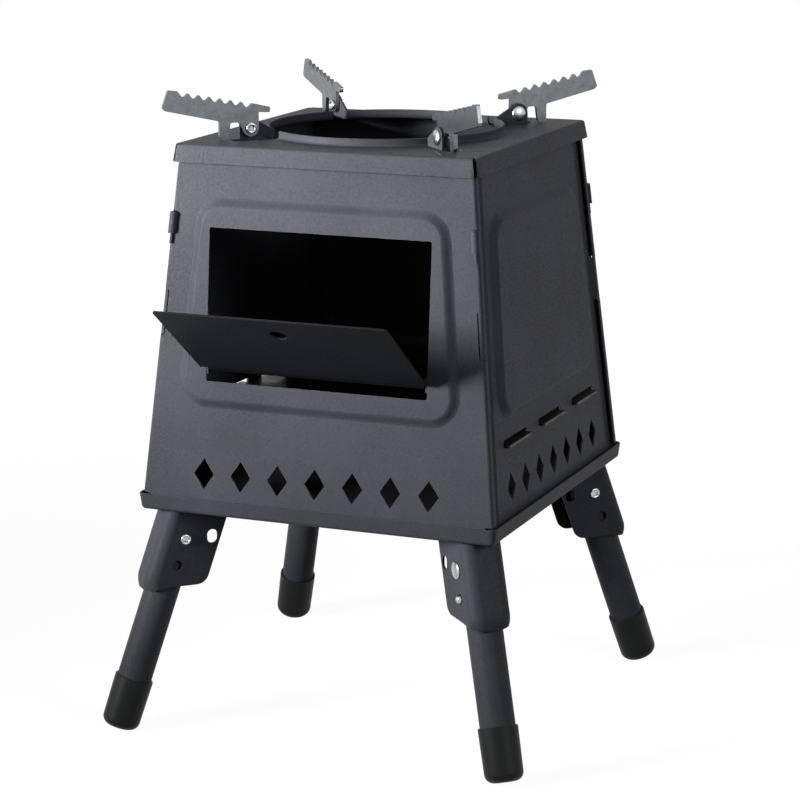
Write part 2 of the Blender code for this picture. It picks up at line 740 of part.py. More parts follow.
def make_support():
    """Toothed pot support in its own frame: pivot at the origin, X outward, Z up."""
    slope = math.tan(math.radians(TOOTH_SLOPE))
    small, fine = SUPPORT_FILLET, SUPPORT_FILLET / 2
    corners = [(KEEL_OUT, KEEL_UP, small), (END_OUT, END_UP, small), (TIP_OUT, TIP_UP, small),
               (CREST_OUT, CREST_UP, fine)]
    for i in range(TOOTH_COUNT):
        run = (i + 0.5) * TOOTH_PITCH
        corners.append((CREST_OUT - run, CREST_UP - run * slope - TOOTH_DEPTH, VALLEY_RADIUS))
        run = (i + 1) * TOOTH_PITCH
        corners.append((CREST_OUT - run, CREST_UP - run * slope, fine))
    corners += [(-TAIL_IN, TAIL_UP, small), (-TAIL_IN, TAIL_UNDER, small), (-SUPPORT_LOBE, NECK_UP, small)]
    outline = rounded(corners)
    outline += arc(0, 0, SUPPORT_LOBE, 180, 340)
    foot = LID_TOP + GAP - SUPPORT_PIVOT_LEVEL
    heel = rounded([(SUPPORT_LOBE, 0, 0), (WEB_OUT, WEB_UP, small), (WEB_END, WEB_UP, small),
                    (FOOT_IN, foot, FOOT_FILLET), (FOOT_OUT, foot, FOOT_FILLET),
                    (FOOT_OUT, FOOT_ROOT_UP, small), (KEEL_OUT, KEEL_UP, 0)])
    outline += heel[1:-1]
    support = prism("pot_support", outline, -SUPPORT_SHEET / 2, SUPPORT_SHEET / 2, radial())
    bore = circle(SUPPORT_SHANK + GAP, steps=BORE_STEPS)
    cut(support, prism("support_bore", bore, -THROUGH, THROUGH, radial()))
    return support


def dome(radius, base, rise, steps=2):
    """Profile of a domed head from its rim to its tip."""
    points = []
    for i in range(steps):
        a = math.pi / 2 * i / steps
        points.append((radius * math.cos(a), base + rise * math.sin(a)))
    points.append((radius * TIP_SHARE, base + rise))
    return points


def rivet(name, shank, low, high, head, rise, ring):
    """Rivet along its own Z: a rolled ring below low and a domed head above high."""
    eye = ring / 2
    profile = [(eye, low), (eye, low - RIVET_LIP), (ring, low - RIVET_LIP), (ring, low)]
    profile += [(shank, low), (shank, high), (head, high)] + dome(head, high + rise / 6, rise * 5 / 6)
    return turned(name, profile)


def leg_frame():
    """From a leg's own frame, tube along Z and spine side +X, to the frame of its diagonal."""
    return Matrix.Rotation(math.radians(-LEG_SPLAY), 4, "Y")


def make_tube():
    """Leg tube hanging along -Z from its pivot, its head rounded to swing inside the bracket."""
    inner = TUBE_RADIUS - TUBE_WALL
    low = CAP_FLOOR + GAP - LEG_LENGTH
    profile = [(TUBE_RADIUS, low), (TUBE_RADIUS, TUBE_HEAD), (inner, TUBE_HEAD), (inner, low)]
    tube = bored("leg_tube", profile, steps=TUBE_STEPS)
    wide = TUBE_HEAD + SHEET
    head = [(-wide, low - THROUGH), (wide, low - THROUGH), (wide, 0)]
    head += arc(0, 0, TUBE_HEAD, 0, 180) + [(-wide, 0)]
    combine(tube, prism("head", head, -wide, wide, radial()), "INTERSECT")
    bore = circle(LEG_SHANK + GAP, steps=BORE_STEPS)
    cut(tube, prism("pivot_bore", bore, -2 * wide, 2 * wide, radial()))
    bore = circle(LOCK_RADIUS + GAP, 0, -LOCK_DISTANCE, BORE_STEPS)
    cut(tube, prism("lock_bore", bore, TUBE_RADIUS / 2, 2 * wide, radial()))
    return tube


def make_cap():
    """Rubber foot cap on the end of a tube, with a flat where it stands on the ground."""
    rim = CAP_LENGTH - LEG_LENGTH
    end = -LEG_LENGTH
    low = CAP_RADIUS - CAP_TAPER
    bore = TUBE_RADIUS + GAP
    profile = [(bore * TIP_SHARE, end + CAP_FLOOR), (bore, end + CAP_FLOOR), (bore, rim)]
    profile += [(CAP_RADIUS, rim)] + arc(low - CAP_ROUND, end + CAP_ROUND, CAP_ROUND, 0, -90)
    profile += [(bore * TIP_SHARE, end)]
    cap = turned("foot_cap", profile, steps=TUBE_STEPS)
    wide = LEG_LENGTH + CAP_RADIUS
    block = prism("ground", rectangle(-wide, wide, -wide, wide), -2 * LEG_PIVOT_LEVEL, -LEG_PIVOT_LEVEL)
    block.matrix_world = leg_frame().inverted()
    cut(cap, block)
    return cap


def bracket_section(half, spine, bend):
    """U section of a bracket in the leg's frame, spine towards +X."""
    centre = (spine - bend, half - bend)
    outer = [(-BRACKET_REACH, half)] + arc(*centre, bend, 90, 0)
    inner = [(-BRACKET_REACH, half - BRACKET_SHEET)] + arc(*centre, bend - BRACKET_SHEET, 90, 0)
    outer += [(x, -y) for x, y in reversed(outer)]
    inner += [(x, -y) for x, y in reversed(inner)]
    return outer + inner[::-1]


def make_bracket():
    """Folded channel under the tray, closed in round the tube at its lower end."""
    splay = math.radians(LEG_SPLAY)
    rings = []
    for rise, share in ((2 * BRACKET_RISE, 0), (-BRACKET_NOSE_DROP, 0), (-BRACKET_NOSE_DROP, 0.45),
                        (-BRACKET_NOSE_DROP, 0.8), (-BRACKET_NOSE_DROP, 1), (-2 * BRACKET_NOSE_DROP, 1)):
        closed = share ** 2
        half = BRACKET_HALF + (BRACKET_NOSE_HALF - BRACKET_HALF) * closed
        spine = BRACKET_SPINE + (BRACKET_NOSE_HALF - BRACKET_SPINE) * closed
        bend = BRACKET_BEND + (BRACKET_NOSE_HALF - SHEET / 2 - BRACKET_BEND) * closed
        height = rise - BRACKET_NOSE_LENGTH * share
        rings.append([Vector((x, y, height)) for x, y in bracket_section(half, spine, bend)])
    bracket = solid("leg_bracket", [(rings, False)])
    upright = leg_frame().inverted() @ radial()
    axis_reach = math.tan(splay) * BRACKET_CHEEK_DROP
    top = BRACKET_RISE - GAP

    def edge(z, v):
        return (v - z * math.sin(splay)) / math.cos(splay)

    inside = EAR_STEP - BRACKET_REACH
    outside = 2 * BRACKET_SPINE
    outline = rounded([
        (edge(-BRACKET_CHEEK_DROP, inside), -BRACKET_CHEEK_DROP, BRACKET_CORNER),
        (axis_reach, -BRACKET_CHEEK_DROP, 0),
        (edge(-BRACKET_SPINE_DROP, outside), -BRACKET_SPINE_DROP, 0),
        (edge(top, outside), top, 0),
        (edge(top, inside), top, 0),
    ])
    wide = 2 * BRACKET_HALF
    combine(bracket, prism("blank", outline, -wide, wide, upright), "INTERSECT")
    cut(bracket, prism("pivot_bore", circle(LEG_SHANK + GAP, steps=BORE_STEPS), -wide, wide, radial()))
    cut(bracket, prism("lock_hole", circle(LOCK_HOLE, 0, -LOCK_DISTANCE, BORE_STEPS), -wide, wide, radial()))
    straight = FOLD_SLOT_LENGTH / 2 - FOLD_SLOT_RADIUS
    slot = arc(-LOCK_DISTANCE, straight, FOLD_SLOT_RADIUS, 0, 180)
    slot += arc(-LOCK_DISTANCE, -straight, FOLD_SLOT_RADIUS, 180, 360)
    cut(bracket, prism("fold_slot", slot, -wide, wide, upright))
    return bracket


def make_button():
    """Domed lock button along its own Z, measured from the tube's axis."""
    base = TUBE_RADIUS + GAP
    profile = [(LOCK_RADIUS * TIP_SHARE, base), (LOCK_RADIUS, base)]
    profile += dome(LOCK_RADIUS, BRACKET_HALF, LOCK_RADIUS)
    return turned("lock_button", profile)


for old in list(bpy.data.objects):
    bpy.data.objects.remove(old)

COAT = material("powder_coat", (0.085, 0.087, 0.100), 0.50, 0.35)
SIDE_COAT = material("side_coat", (0.060, 0.063, 0.068), 0.52, 0.35)
DOOR_COAT = material("door_coat", (0.030, 0.031, 0.035), 0.50, 0.30)
ZINC = material("zinc_plate", (0.42, 0.44, 0.46), 0.42, 0.90)
NICKEL = material("nickel", (0.78, 0.78, 0.76), 0.22, 1.00)
STEEL = material("bare_steel", (0.32, 0.32, 0.33), 0.40, 1.00)
RUBBER = material("rubber", (0.018, 0.018, 0.019), 0.45, 0.00)

stove = empty("stove")

finish(make_tray(), COAT, stove)
front = face_wall("front_panel")
open_doorway(front)
finish(front, COAT, stove)
finish(face_wall("back_panel"), COAT, stove, rotation=(0, 0, math.pi))
finish(side_wall("right_panel"), SIDE_COAT, stove, rotation=(0, 0, math.pi / 2))
repeat(bpy.data.objects["right_panel"], "left_panel", stove, (0, 0, 0), (0, 0, -math.pi / 2))
finish(make_grate(), STEEL, stove)
finish(make_lid(), COAT, stove)

hinge = hinge_axis()[2]
finish(make_door(), DOOR_COAT, stove, hinge, (math.radians(DOOR_TILT), 0, 0))
pin_half = OPENING_HALF + LUG_SINK - GAP / 3
along_x = axes((0, 1, 0), (0, 0, 1), (1, 0, 0))
door_pin = prism("door_pin", circle(HINGE_PIN_RADIUS, steps=BORE_STEPS), -pin_half, pin_half, along_x)
finish(door_pin, NICKEL, stove, hinge)

pin_centre = (FACE_HALF - BARREL_INSET, -FACE_REACH - BARREL_OUT)
pin_right = anchored(circle(PIN_RADIUS, *pin_centre, BORE_STEPS))
pin_left = mirror_section(pin_right)
pin_low, pin_high = TRAY_TOP + PIN_LOW, TRAY_TOP + BARREL_HIGH + PIN_PROUD
for name, section, turn in (("front_right", pin_right, 0), ("front_left", pin_left, 0),
                            ("back_left", pin_right, math.pi), ("back_right", pin_left, math.pi)):
    pin = wall_prism("corner_pin_" + name, section, pin_low, pin_high)
    finish(pin, COAT, stove, rotation=(0, 0, turn))

splay = math.radians(LEG_SPLAY)
support_grip = SUPPORT_SHEET / 2 + GAP
ear_back = support_grip + EAR_SHEET + GAP
masters = {
    "leg_bracket": (make_bracket(), COAT),
    "leg_tube": (make_tube(), COAT),
    "foot_cap": (make_cap(), RUBBER),
    "leg_rivet": (rivet("leg_rivet", LEG_SHANK, -BRACKET_HALF - GAP, BRACKET_HALF + GAP,
                        LEG_HEAD, LEG_HEAD_RISE, LEG_RING), NICKEL),
    "lock_button": (make_button(), NICKEL),
    "pot_support": (make_support(), ZINC),
    "support_rivet": (rivet("support_rivet", SUPPORT_SHANK, -support_grip, ear_back,
                            SUPPORT_HEAD, SUPPORT_HEAD_RISE, SUPPORT_RING), NICKEL),
}
for body, look in masters.values():
    finish(body, look, stove)

for corner, angle in CORNERS:
    diagonal = empty("diagonal_" + corner, stove, turn=angle)
    leg = (LEG_PIVOT_REACH, 0, LEG_PIVOT_LEVEL)
    pot = (SUPPORT_PIVOT_REACH, 0, SUPPORT_PIVOT_LEVEL)
    head_side = 1 if corner.startswith("front") else -1

    lock = (leg[0] + LOCK_DISTANCE * math.sin(splay), 0, leg[2] - LOCK_DISTANCE * math.cos(splay))
    tube_turn = (0, -splay, 0) if head_side > 0 else (0, splay, math.pi)
    repeat(masters["leg_bracket"][0], "leg_bracket_" + corner, diagonal, leg, (0, -splay, 0))
    repeat(masters["leg_tube"][0], "leg_tube_" + corner, diagonal, leg, tube_turn)
    repeat(masters["foot_cap"][0], "foot_cap_" + corner, diagonal, leg, (0, -splay, 0))
    repeat(masters["leg_rivet"][0], "leg_rivet_" + corner, diagonal, leg, (head_side * math.pi / 2, 0, 0))
    repeat(masters["lock_button"][0], "lock_button_" + corner, diagonal, lock, (head_side * math.pi / 2, 0, 0))
    repeat(masters["pot_support"][0], "pot_support_" + corner, diagonal, pot)
    repeat(masters["support_rivet"][0], "support_rivet_" + corner, diagonal, pot, (math.pi / 2, 0, 0))
for body, _ in masters.values():
    bpy.data.objects.remove(body)

bpy.context.view_layer.update()
bodies = [body for body in bpy.data.objects if body.type == "MESH"]
reaches = [(body.matrix_world @ v.co).y for body in bodies for v in body.data.vertices]
stove.location.y = -(min(reaches) + max(reaches)) / 2
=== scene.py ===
"""Folding camping wood stove: powder-coated sheet steel, zinc-plated pot supports, rubber feet."""

import math

import bmesh
import bpy
from bpy.props import FloatProperty, FloatVectorProperty, IntProperty, PointerProperty
from mathutils import Matrix, Vector


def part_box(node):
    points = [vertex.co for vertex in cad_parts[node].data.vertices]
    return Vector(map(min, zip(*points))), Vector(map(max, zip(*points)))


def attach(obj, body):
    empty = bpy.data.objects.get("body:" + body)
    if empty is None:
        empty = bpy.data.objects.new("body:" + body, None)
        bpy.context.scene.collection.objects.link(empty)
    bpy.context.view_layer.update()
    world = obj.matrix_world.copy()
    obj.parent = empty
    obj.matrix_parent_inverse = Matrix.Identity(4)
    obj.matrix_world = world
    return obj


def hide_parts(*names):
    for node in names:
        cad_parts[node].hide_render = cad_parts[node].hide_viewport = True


bl_info = {
    "name": "Camping wood stove",
    "version": (1, 0, 0),
    "blender": (4, 5, 0),
    "location": "View3D > Sidebar > Stove",
    "description": "Builds a folding wood stove with a tilting fuel door, piece by piece",
    "category": "Add Mesh",
}

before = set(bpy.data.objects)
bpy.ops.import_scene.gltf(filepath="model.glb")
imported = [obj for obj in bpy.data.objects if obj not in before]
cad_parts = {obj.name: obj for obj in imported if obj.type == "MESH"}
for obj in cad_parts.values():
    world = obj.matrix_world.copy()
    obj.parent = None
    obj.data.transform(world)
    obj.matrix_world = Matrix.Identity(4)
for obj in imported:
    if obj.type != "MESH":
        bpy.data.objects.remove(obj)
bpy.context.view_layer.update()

GAP = 0.0003  # play between pieces that nearly touch
EDGE, THIN_EDGE = 0.0003, 0.0002  # rounding of sheared edges
REACH = 0.01  # how far a cutter goes past what it cuts
FINE_ARC, SMALL_ARC = 7.5, 15  # degrees in one step of an arc
BORE_STEPS, HOLE_STEPS, HEAD_STEPS, TUBE_STEPS = 24, 32, 36, 56  # sides of round shapes
SWELL_STEPS, JOGGLE_STEPS, NOSE_STEPS = 12, 8, 14  # steps of curved slopes
POLE = 0.02  # share of its radius at which a turned shape is closed at its axis
CREASE, SHARP = 32, 40  # degrees: edges shaded sharp, edges that get rounded
CORNERS = (("front_right", -45), ("back_right", 45), ("back_left", 135), ("front_left", 225))
TRAY_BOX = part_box("tray")  # its middle is the stove's upright axis in the shared frame
BODY_Y = (TRAY_BOX[0][1] + TRAY_BOX[1][1]) / 2
WHOLE = Matrix.Translation((0, BODY_Y, 0))


def length(label, default, text):
    """A size in metres."""
    return FloatProperty(name=label, description=text, default=default, unit="LENGTH", precision=5)


def number(label, default, text):
    """A plain number, such as an angle in degrees."""
    return FloatProperty(name=label, description=text, default=default)


def count(label, default, text):
    """How many of something."""
    return IntProperty(name=label, description=text, default=default, min=1)


def linear(code):
    """The linear colour of an sRGB hex value."""
    values = [int(code[i:i + 2], 16) / 255 for i in (1, 3, 5)]
    return [v / 12.92 if v <= 0.04045 else ((v + 0.055) / 1.055) ** 2.4 for v in values]


def colour(label, code, text):
    """A colour given as sRGB hex."""
    return FloatVectorProperty(name=label, description=text, default=linear(code), subtype="COLOR",
                               min=0, max=1)


class WallSizes(bpy.types.PropertyGroup):
    """Sizes of the tray, the four walls and the grate."""
    sheet: length("Sheet", 0.0012, "Thickness of the firebox sheet")
    taper: number("Taper", 0.0945, "How far a wall leans in for each unit of height")
    face_reach: length("Front wall reach", 0.1165, "Centre to the outside of the front wall")
    face_half: length("Front wall half width", 0.1176, "Half width of the front wall")
    bend: length("Edge bend", 0.0020, "Outside radius of the folded edges")
    flange: length("Folded edge", 0.0053, "Depth of the edges folded back")
    relief: length("Foot relief", 0.0055, "Width cut from the foot corners to clear the lip of the tray")
    top: length("Wall top", 0.3709978, "Height of the top edges")
    recess: length("Side recess", 0.0022, "How far the side walls sit inside the edges")
    margin: length("Side margin", 0.0135, "Width of the stepped margins of a side wall")
    joggle: length("Margin step", 0.0013, "Depth of the step at the margins")
    run: length("Step run", 0.0020, "Width of the slope of the step")
    face_margin: length("Front panel margin", 0.0165, "From the edge of the front wall to its raised panel")
    side_margin: length("Side panel margin", 0.0220, "From the edge of a side wall to its raised panel")
    emboss_low: length("Raised panel foot", 0.2104978, "Height of the lower edge of the raised panels")
    face_high: length("Front panel head", 0.3409978, "Height of the upper edge of the front's raised panel")
    side_high: length("Side panel head", 0.3359978, "Height of the upper edge of a side's raised panel")
    emboss_rise: length("Raised by", 0.0035, "How far the panels stand out")
    emboss_slope: length("Raised edge", 0.0068, "Width of the pressed edge")
    emboss_corner: length("Raised corner", 0.019, "Corner radius of the raised panels")
    diamonds: count("Air holes", 7, "Diamond holes in each wall")
    diamond_pitch: length("Air hole pitch", 0.0251, "From one diamond to the next")
    diamond_width: length("Air hole width", 0.0135, "Width of a diamond")
    diamond_height: length("Air hole height", 0.0195, "Height of a diamond")
    diamond_level: length("Air hole level", 0.1694978, "Height of the middle of the diamonds")
    hook_low: length("Hook foot", 0.2539978, "Lower end of the side walls' hooks")
    hook_high: length("Hook head", 0.2819978, "Upper end of the side walls' hooks")
    hook_sheet: length("Hook sheet", 0.0011, "Thickness of the hooks")
    barrel_low: length("Barrel foot", 0.3175978, "Lower end of the pin barrels")
    barrel_high: length("Barrel head", 0.3304978, "Upper end of the pin barrels")
    barrel_radius: length("Barrel radius", 0.0025, "Outside radius of a pin barrel")
    barrel_inset: length("Barrel inset", 0.0016, "Barrel centre in from the wall's edge")
    barrel_out: length("Barrel stand-out", 0.0009, "Barrel centre out from the wall's face")
    pin_radius: length("Pin radius", 0.0010, "Radius of a corner pin")
    pin_low: length("Pin foot", 0.3109978, "Lower end of the corner pins")
    tray_half: length("Tray half width", 0.120, "Half width of the tray at its rim")
    tray_floor: length("Tray floor half width", 0.119, "Half width of the tray at its floor")
    tray_top: length("Tray rim", 0.1540978, "Height of the rim, where the walls are measured")
    tray_lip: length("Tray lip", 0.0107, "Height of the lip")
    tray_bend: length("Tray bend", 0.0030, "Bend radius under the lip")
    tray_corner: length("Tray corner", 0.0045, "Corner radius of the tray")
    slot_pitch: length("Slot pitch", 0.062, "From one grate slot to the next")
    slot_half: length("Slot half length", 0.0205, "Half length of a grate slot")
    slot_low: length("Slot level", 0.1951978, "Height of the lower edge of the slots")
    slot_height: length("Slot height", 0.0047, "Height of a slot")
    grate_sheet: length("Grate sheet", 0.0015, "Thickness of the grate")
    tab_half: length("Tab half width", 0.0200, "Half width of a grate tab")
    tab_reach: length("Tab reach", 0.0034, "How far the tabs stick out of the side walls")
    grate_holes: count("Grate holes", 5, "Holes along each side of the grate")
    grate_pitch: length("Grate pitch", 0.036, "From one grate hole to the next")
    grate_hole: length("Grate hole radius", 0.0045, "Radius of a grate hole")


class DoorSizes(bpy.types.PropertyGroup):
    """Sizes of the fuel opening and its door."""
    opening_half: length("Opening half width", 0.0735, "Half width of the fuel opening")
    opening_low: length("Sill", 0.2279978, "Height of the sill")
    opening_high: length("Head", 0.3224978, "Height of the head of the opening")
    opening_corner: length("Opening corner", 0.0015, "Corner radius of the opening")
    half: length("Door half width", 0.0752, "Half width of the door")
    sheet: length("Door sheet", 0.0013, "Thickness of the door")
    long: length("Door length", 0.0824796, "From the hinge axis to the free edge")
    shoulder: length("Shoulder", 0.0065, "From the hinge axis to the wide part")
    tongue_half: length("Tongue half width", 0.0716, "Half width of the rolled tongue")
    corner: length("Door corner", 0.0015, "Corner radius of the free edge")
    hole: length("Finger hole radius", 0.0053, "Radius of the hole that a stick lifts the door by")
    hole_setback: length("Finger hole setback", 0.019, "From the free edge to the hole")
    tilt: number("Door tilt", 53.5, "Lean of the open door from upright, in degrees")
    level: length("Hinge level", 0.2372978, "Height of the hinge axis")
    bore: length("Knuckle bore", 0.0015, "Inside radius of the rolled tongue")
    joggle: length("Tongue step", 0.0012, "How far the tongue steps in")
    lug_sheet: length("Lug sheet", 0.0016, "Thickness of the two pin lugs")
    lug: length("Lug radius", 0.0046, "Radius of the lugs round the pin")


class LidSizes(bpy.types.PropertyGroup):
    """Sizes of the lid and the pot supports on it."""
    top: length("Lid top", 0.3725978, "Height of the lid's plate")
    sheet: length("Lid sheet", 0.0013, "Thickness of the lid")
    half: length("Lid half width", 0.0992018, "Half width at the top")
    flare: length("Skirt flare", 0.0019, "How far the skirt leans out")
    skirt: length("Skirt", 0.0111, "Height of the skirt")
    bend: length("Lid bend", 0.0018, "Bend radius over the skirt")
    corner: length("Lid corner", 0.0030, "Corner radius of the lid")
    slit: length("Corner slit", 0.0023, "Width of the open slit at each corner")
    slit_start: length("Slit start", 0.1354925, "From the centre to the slit, on the diagonal")
    collar: length("Collar radius", 0.0750018, "Outside radius of the collar")
    collar_rise: length("Collar rise", 0.0048, "Height of the collar over the plate")
    collar_bend: length("Collar bend", 0.0020, "Bend radius at the foot of the collar")
    pivot_reach: length("Support pivot reach", 0.0906018, "From the centre to a pot support's pivot")
    pivot_level: length("Support pivot level", 0.3794978, "Height of the pot supports' pivots")
    support: length("Support sheet", 0.0025, "Thickness of a pot support")
    ear: length("Ear sheet", 0.0015, "Thickness of an ear")
    ear_radius: length("Ear radius", 0.0065, "Radius of an ear round its pivot")
    slot: length("Ear slot", 0.0092, "Width of the slot beside an ear")
    slot_reach: length("Ear slot reach", 0.1040018, "From the centre to the end of the slot")
    shank: length("Support rivet", 0.0020, "Shank radius of a support's rivet")
    head: length("Rivet head", 0.00475, "Radius of its domed head")
    head_rise: length("Head rise", 0.0022, "Height of its domed head")
    ring: length("Rolled end", 0.0034, "Radius of its rolled end")
    lobe: length("Support lobe", 0.0052, "Radius of a support round its pivot")
    tooth_pitch: length("Tooth pitch", 0.00686, "From one tooth to the next, level")
    tooth_depth: length("Tooth depth", 0.0040, "Depth of the valleys between teeth")
    teeth: count("Valleys", 7, "Valleys along a pot support")
    tooth_slope: number("Tooth slope", 11.3, "Rise of the row of teeth, in degrees")


class LegSizes(bpy.types.PropertyGroup):
    """Sizes of the legs and their brackets."""
    splay: number("Splay", 19.27, "Lean of a leg from upright, in degrees")
    pivot_reach: length("Leg pivot reach", 0.1429056, "From the centre to a leg's pivot")
    pivot_level: length("Leg pivot level", 0.1243978, "Height of the leg pivots")
    tube: length("Tube radius", 0.011, "Outside radius of the leg tube")
    wall: length("Tube wall", 0.0012, "Wall of the leg tube")
    head: length("Tube head", 0.0114, "Radius of the tube's rounded head")
    long: length("Leg length", 0.1298, "From the pivot to the end of the cap")
    cap: length("Cap radius", 0.01235, "Radius of the rubber cap")
    cap_taper: length("Cap taper", 0.00035, "How much narrower the cap ends")
    cap_long: length("Cap length", 0.0335, "Length of the rubber cap")
    cap_floor: length("Cap floor", 0.0032, "Thickness of the cap's floor")
    cap_round: length("Cap round", 0.0056, "Radius of the cap's end")
    sheet: length("Bracket sheet", 0.0015, "Thickness of a bracket")
    half: length("Bracket half width", 0.0135, "Half width over the cheeks")
    spine: length("Spine", 0.0158, "From the tube's axis to the outside of the spine")
    cheek: length("Cheek", 0.0224, "From the tube's axis to the inner edge of the cheeks")
    bend: length("Bracket bend", 0.0075, "Outside bend radius")
    nose: length("Nose half width", 0.0128, "Radius where the bracket closes in on the tube")
    nose_drop: length("Nose start", 0.0300, "From the pivot down the leg to where the bracket closes in")
    nose_long: length("Nose length", 0.0112, "How far down the leg it takes to close in")
    cheek_low: length("Cheek foot", 0.0937978, "Height of the lower edge of the cheeks")
    spine_low: length("Spine foot", 0.0894978, "Height of the lower edge of the spine")
    corner: length("Cheek corner", 0.008, "Radius of the inner corner of a cheek")
    shank: length("Leg rivet", 0.0025, "Shank radius of a leg rivet")
    rivet_head: length("Leg rivet head", 0.0055, "Radius of its domed head")
    rivet_rise: length("Leg rivet rise", 0.0015, "Height of its domed head")
    ring: length("Leg rivet end", 0.0034, "Radius of its rolled end")
    lock: length("Lock distance", 0.01775, "From the pivot to the lock button")
    lock_hole: length("Lock hole", 0.00325, "Radius of the lock hole")
    lock_radius: length("Lock button", 0.00275, "Radius of the lock button")
    slot_radius: length("Fold slot", 0.0034, "Half width of the slot that locks the folded leg")
    slot_long: length("Fold slot length", 0.009, "Length of that slot")


class Finishes(bpy.types.PropertyGroup):
    """Colours of the surfaces."""
    coat: colour("Powder coat", "#303136", "Sheet steel")
    # Painted shade: the door's colour is the coat darkened to stand in for the shade on the open door's
    # underside.
    door: colour("Door", "#121316", "The door, the darkest of the coated pieces")
    zinc: colour("Zinc", "#6a6e72", "Pot supports")
    nickel: colour("Nickel", "#b0b2b4", "Rivets, pins and buttons")
    # Painted shade: the grate's steel is darkened near black to stand in for the shade inside the firebox.
    steel: colour("Steel", "#1d1d1e", "Grate")
    rubber: colour("Rubber", "#161718", "Foot caps")


def sizes(group):
    """The user's values of one group."""
    return getattr(bpy.context.scene, "stove_" + group)


def arc(x, y, radius, start, end, step=FINE_ARC):
    """Points of an arc between two angles in degrees, both ends included."""
    steps = max(3, math.ceil(abs(end - start) / step - 0.01))
    angles = [math.radians(start + (end - start) * i / steps) for i in range(steps + 1)]
    return [(x + radius * math.cos(a), y + radius * math.sin(a)) for a in angles]


def rounded(corners):
    """A closed outline from (x, y, radius) corners, each filleted by its radius."""
    points = []
    total = len(corners)
    for i, (x, y, radius) in enumerate(corners):
        here = Vector((x, y))
        if radius <= 0:
            points.append((x, y))
            continue
        back = (Vector(corners[i - 1][:2]) - here).normalized()
        ahead = (Vector(corners[(i + 1) % total][:2]) - here).normalized()
        half = back.angle(ahead) / 2
        centre = here + (back + ahead).normalized() * radius / math.sin(half)
        first = here + back * radius / math.tan(half) - centre
        last = here + ahead * radius / math.tan(half) - centre
        turn = first.angle_signed(last)
        steps = max(2, math.ceil(abs(math.degrees(turn)) / (2 * FINE_ARC)))
        for k in range(steps + 1):
            spot = centre + Matrix.Rotation(-turn * k / steps, 2) @ first
            points.append((spot.x, spot.y))
    return points


def circle(radius, x=0.0, y=0.0, steps=40):
    """A full circle as an outline."""
    angles = [2 * math.pi * (i + 0.5) / steps for i in range(steps)]
    return [(x + radius * math.cos(a), y + radius * math.sin(a)) for a in angles]


def rectangle(x0, x1, y0, y1, radius=0.0):
    """A rectangle as an outline, its corners filleted."""
    return rounded([(x0, y0, radius), (x1, y0, radius), (x1, y1, radius), (x0, y1, radius)])


def axes(x, y, z, origin=(0, 0, 0)):
    """A frame whose columns are the given axes."""
    made = Matrix((x, y, z)).transposed().to_4x4()
    made.translation = origin
    return made


def link(name, work):
    """Turn a bmesh into an object in the scene."""
    bmesh.ops.recalc_face_normals(work, faces=work.faces)
    mesh = bpy.data.meshes.new(name)
    work.to_mesh(mesh)
    work.free()
    body = bpy.data.objects.new(name, mesh)
    bpy.context.scene.collection.objects.link(body)
    return body


def loft(name, rings, closed=False):
    """A solid from rings of points, bridged in order and capped unless closed on itself."""
    work = bmesh.new()
    loops = [[work.verts.new(p) for p in ring] for ring in rings]
    pairs = list(zip(loops, loops[1:]))
    if closed:
        pairs.append((loops[-1], loops[0]))
    for low, high in pairs:
        for i in range(len(low)):
            k = (i + 1) % len(low)
            work.faces.new((low[i], low[k], high[k], high[i]))
    if not closed:
        work.faces.new(loops[0][::-1])
        work.faces.new(loops[-1])
    return link(name, work)


def prism(name, outline, low, high, place=Matrix.Identity(4)):
    """A straight prism on an outline in the XY plane of a frame."""
    return loft(name, [[place @ Vector((x, y, h)) for x, y in outline] for h in (low, high)])


def turned(name, profile, steps, closed=False):
    """A solid of revolution round Z from (radius, height) points."""
    rings = [[Vector((x, y, height)) for x, y in circle(radius, steps=steps)] for radius, height in profile]
    return loft(name, rings, closed)


def dome(radius, base, rise, pole=POLE, steps=9):
    """The profile of a dome, from its rim to the small flat at its pole."""
    angles = [math.pi / 2 * i / steps for i in range(steps + 1)]
    return [(radius * max(math.cos(a), pole), base + rise * math.sin(a)) for a in angles]


def drop(body):
    """Remove a tool that has done its work."""
    mesh = body.data
    bpy.data.objects.remove(body)
    bpy.data.meshes.remove(mesh)


def settle(body):
    """Apply every modifier of an object to its mesh."""
    bpy.context.view_layer.update()
    graph = bpy.context.evaluated_depsgraph_get()
    shaped = bpy.data.meshes.new_from_object(body.evaluated_get(graph))
    body.modifiers.clear()
    rough = body.data
    body.data = shaped
    bpy.data.meshes.remove(rough)


def combine(body, tool, operation):
    """Apply one exact Boolean and remove the tool."""
    modifier = body.modifiers.new(operation, "BOOLEAN")
    modifier.object = tool
    modifier.operation = operation
    modifier.solver = "EXACT"
    settle(body)
    drop(tool)


def cut(body, tool):
    """Take the tool's volume away."""
    combine(body, tool, "DIFFERENCE")


def weld(body, tool):
    """Join the tool's volume on."""
    combine(body, tool, "UNION")


def soften(body, width=EDGE):
    """Round the sharp edges of a piece a little, as coating and stamping do."""
    modifier = body.modifiers.new("edges", "BEVEL")
    modifier.width = width
    modifier.segments = 2
    modifier.limit_method = "ANGLE"
    modifier.angle_limit = math.radians(SHARP)
    settle(body)


def publish(body, surface, rides, *stands_for, place=Matrix.Identity(4)):
    """Put a finished piece in its place, with its material, its body and the nodes it stands for."""
    body.data.transform(WHOLE @ place)
    body.data.materials.clear()
    body.data.materials.append(finish_of(surface))
    body.data.shade_smooth()
    body.data.set_sharp_from_angle(angle=math.radians(CREASE))
    flats = body.modifiers.new("flats", "WEIGHTED_NORMAL")
    flats.keep_sharp = True
    settle(body)
    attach(body, rides)
    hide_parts(*stands_for)


def copy_of(body, name):
    """A second piece with its own mesh."""
    twin = bpy.data.objects.new(name, body.data.copy())
    bpy.context.scene.collection.objects.link(twin)
    return twin


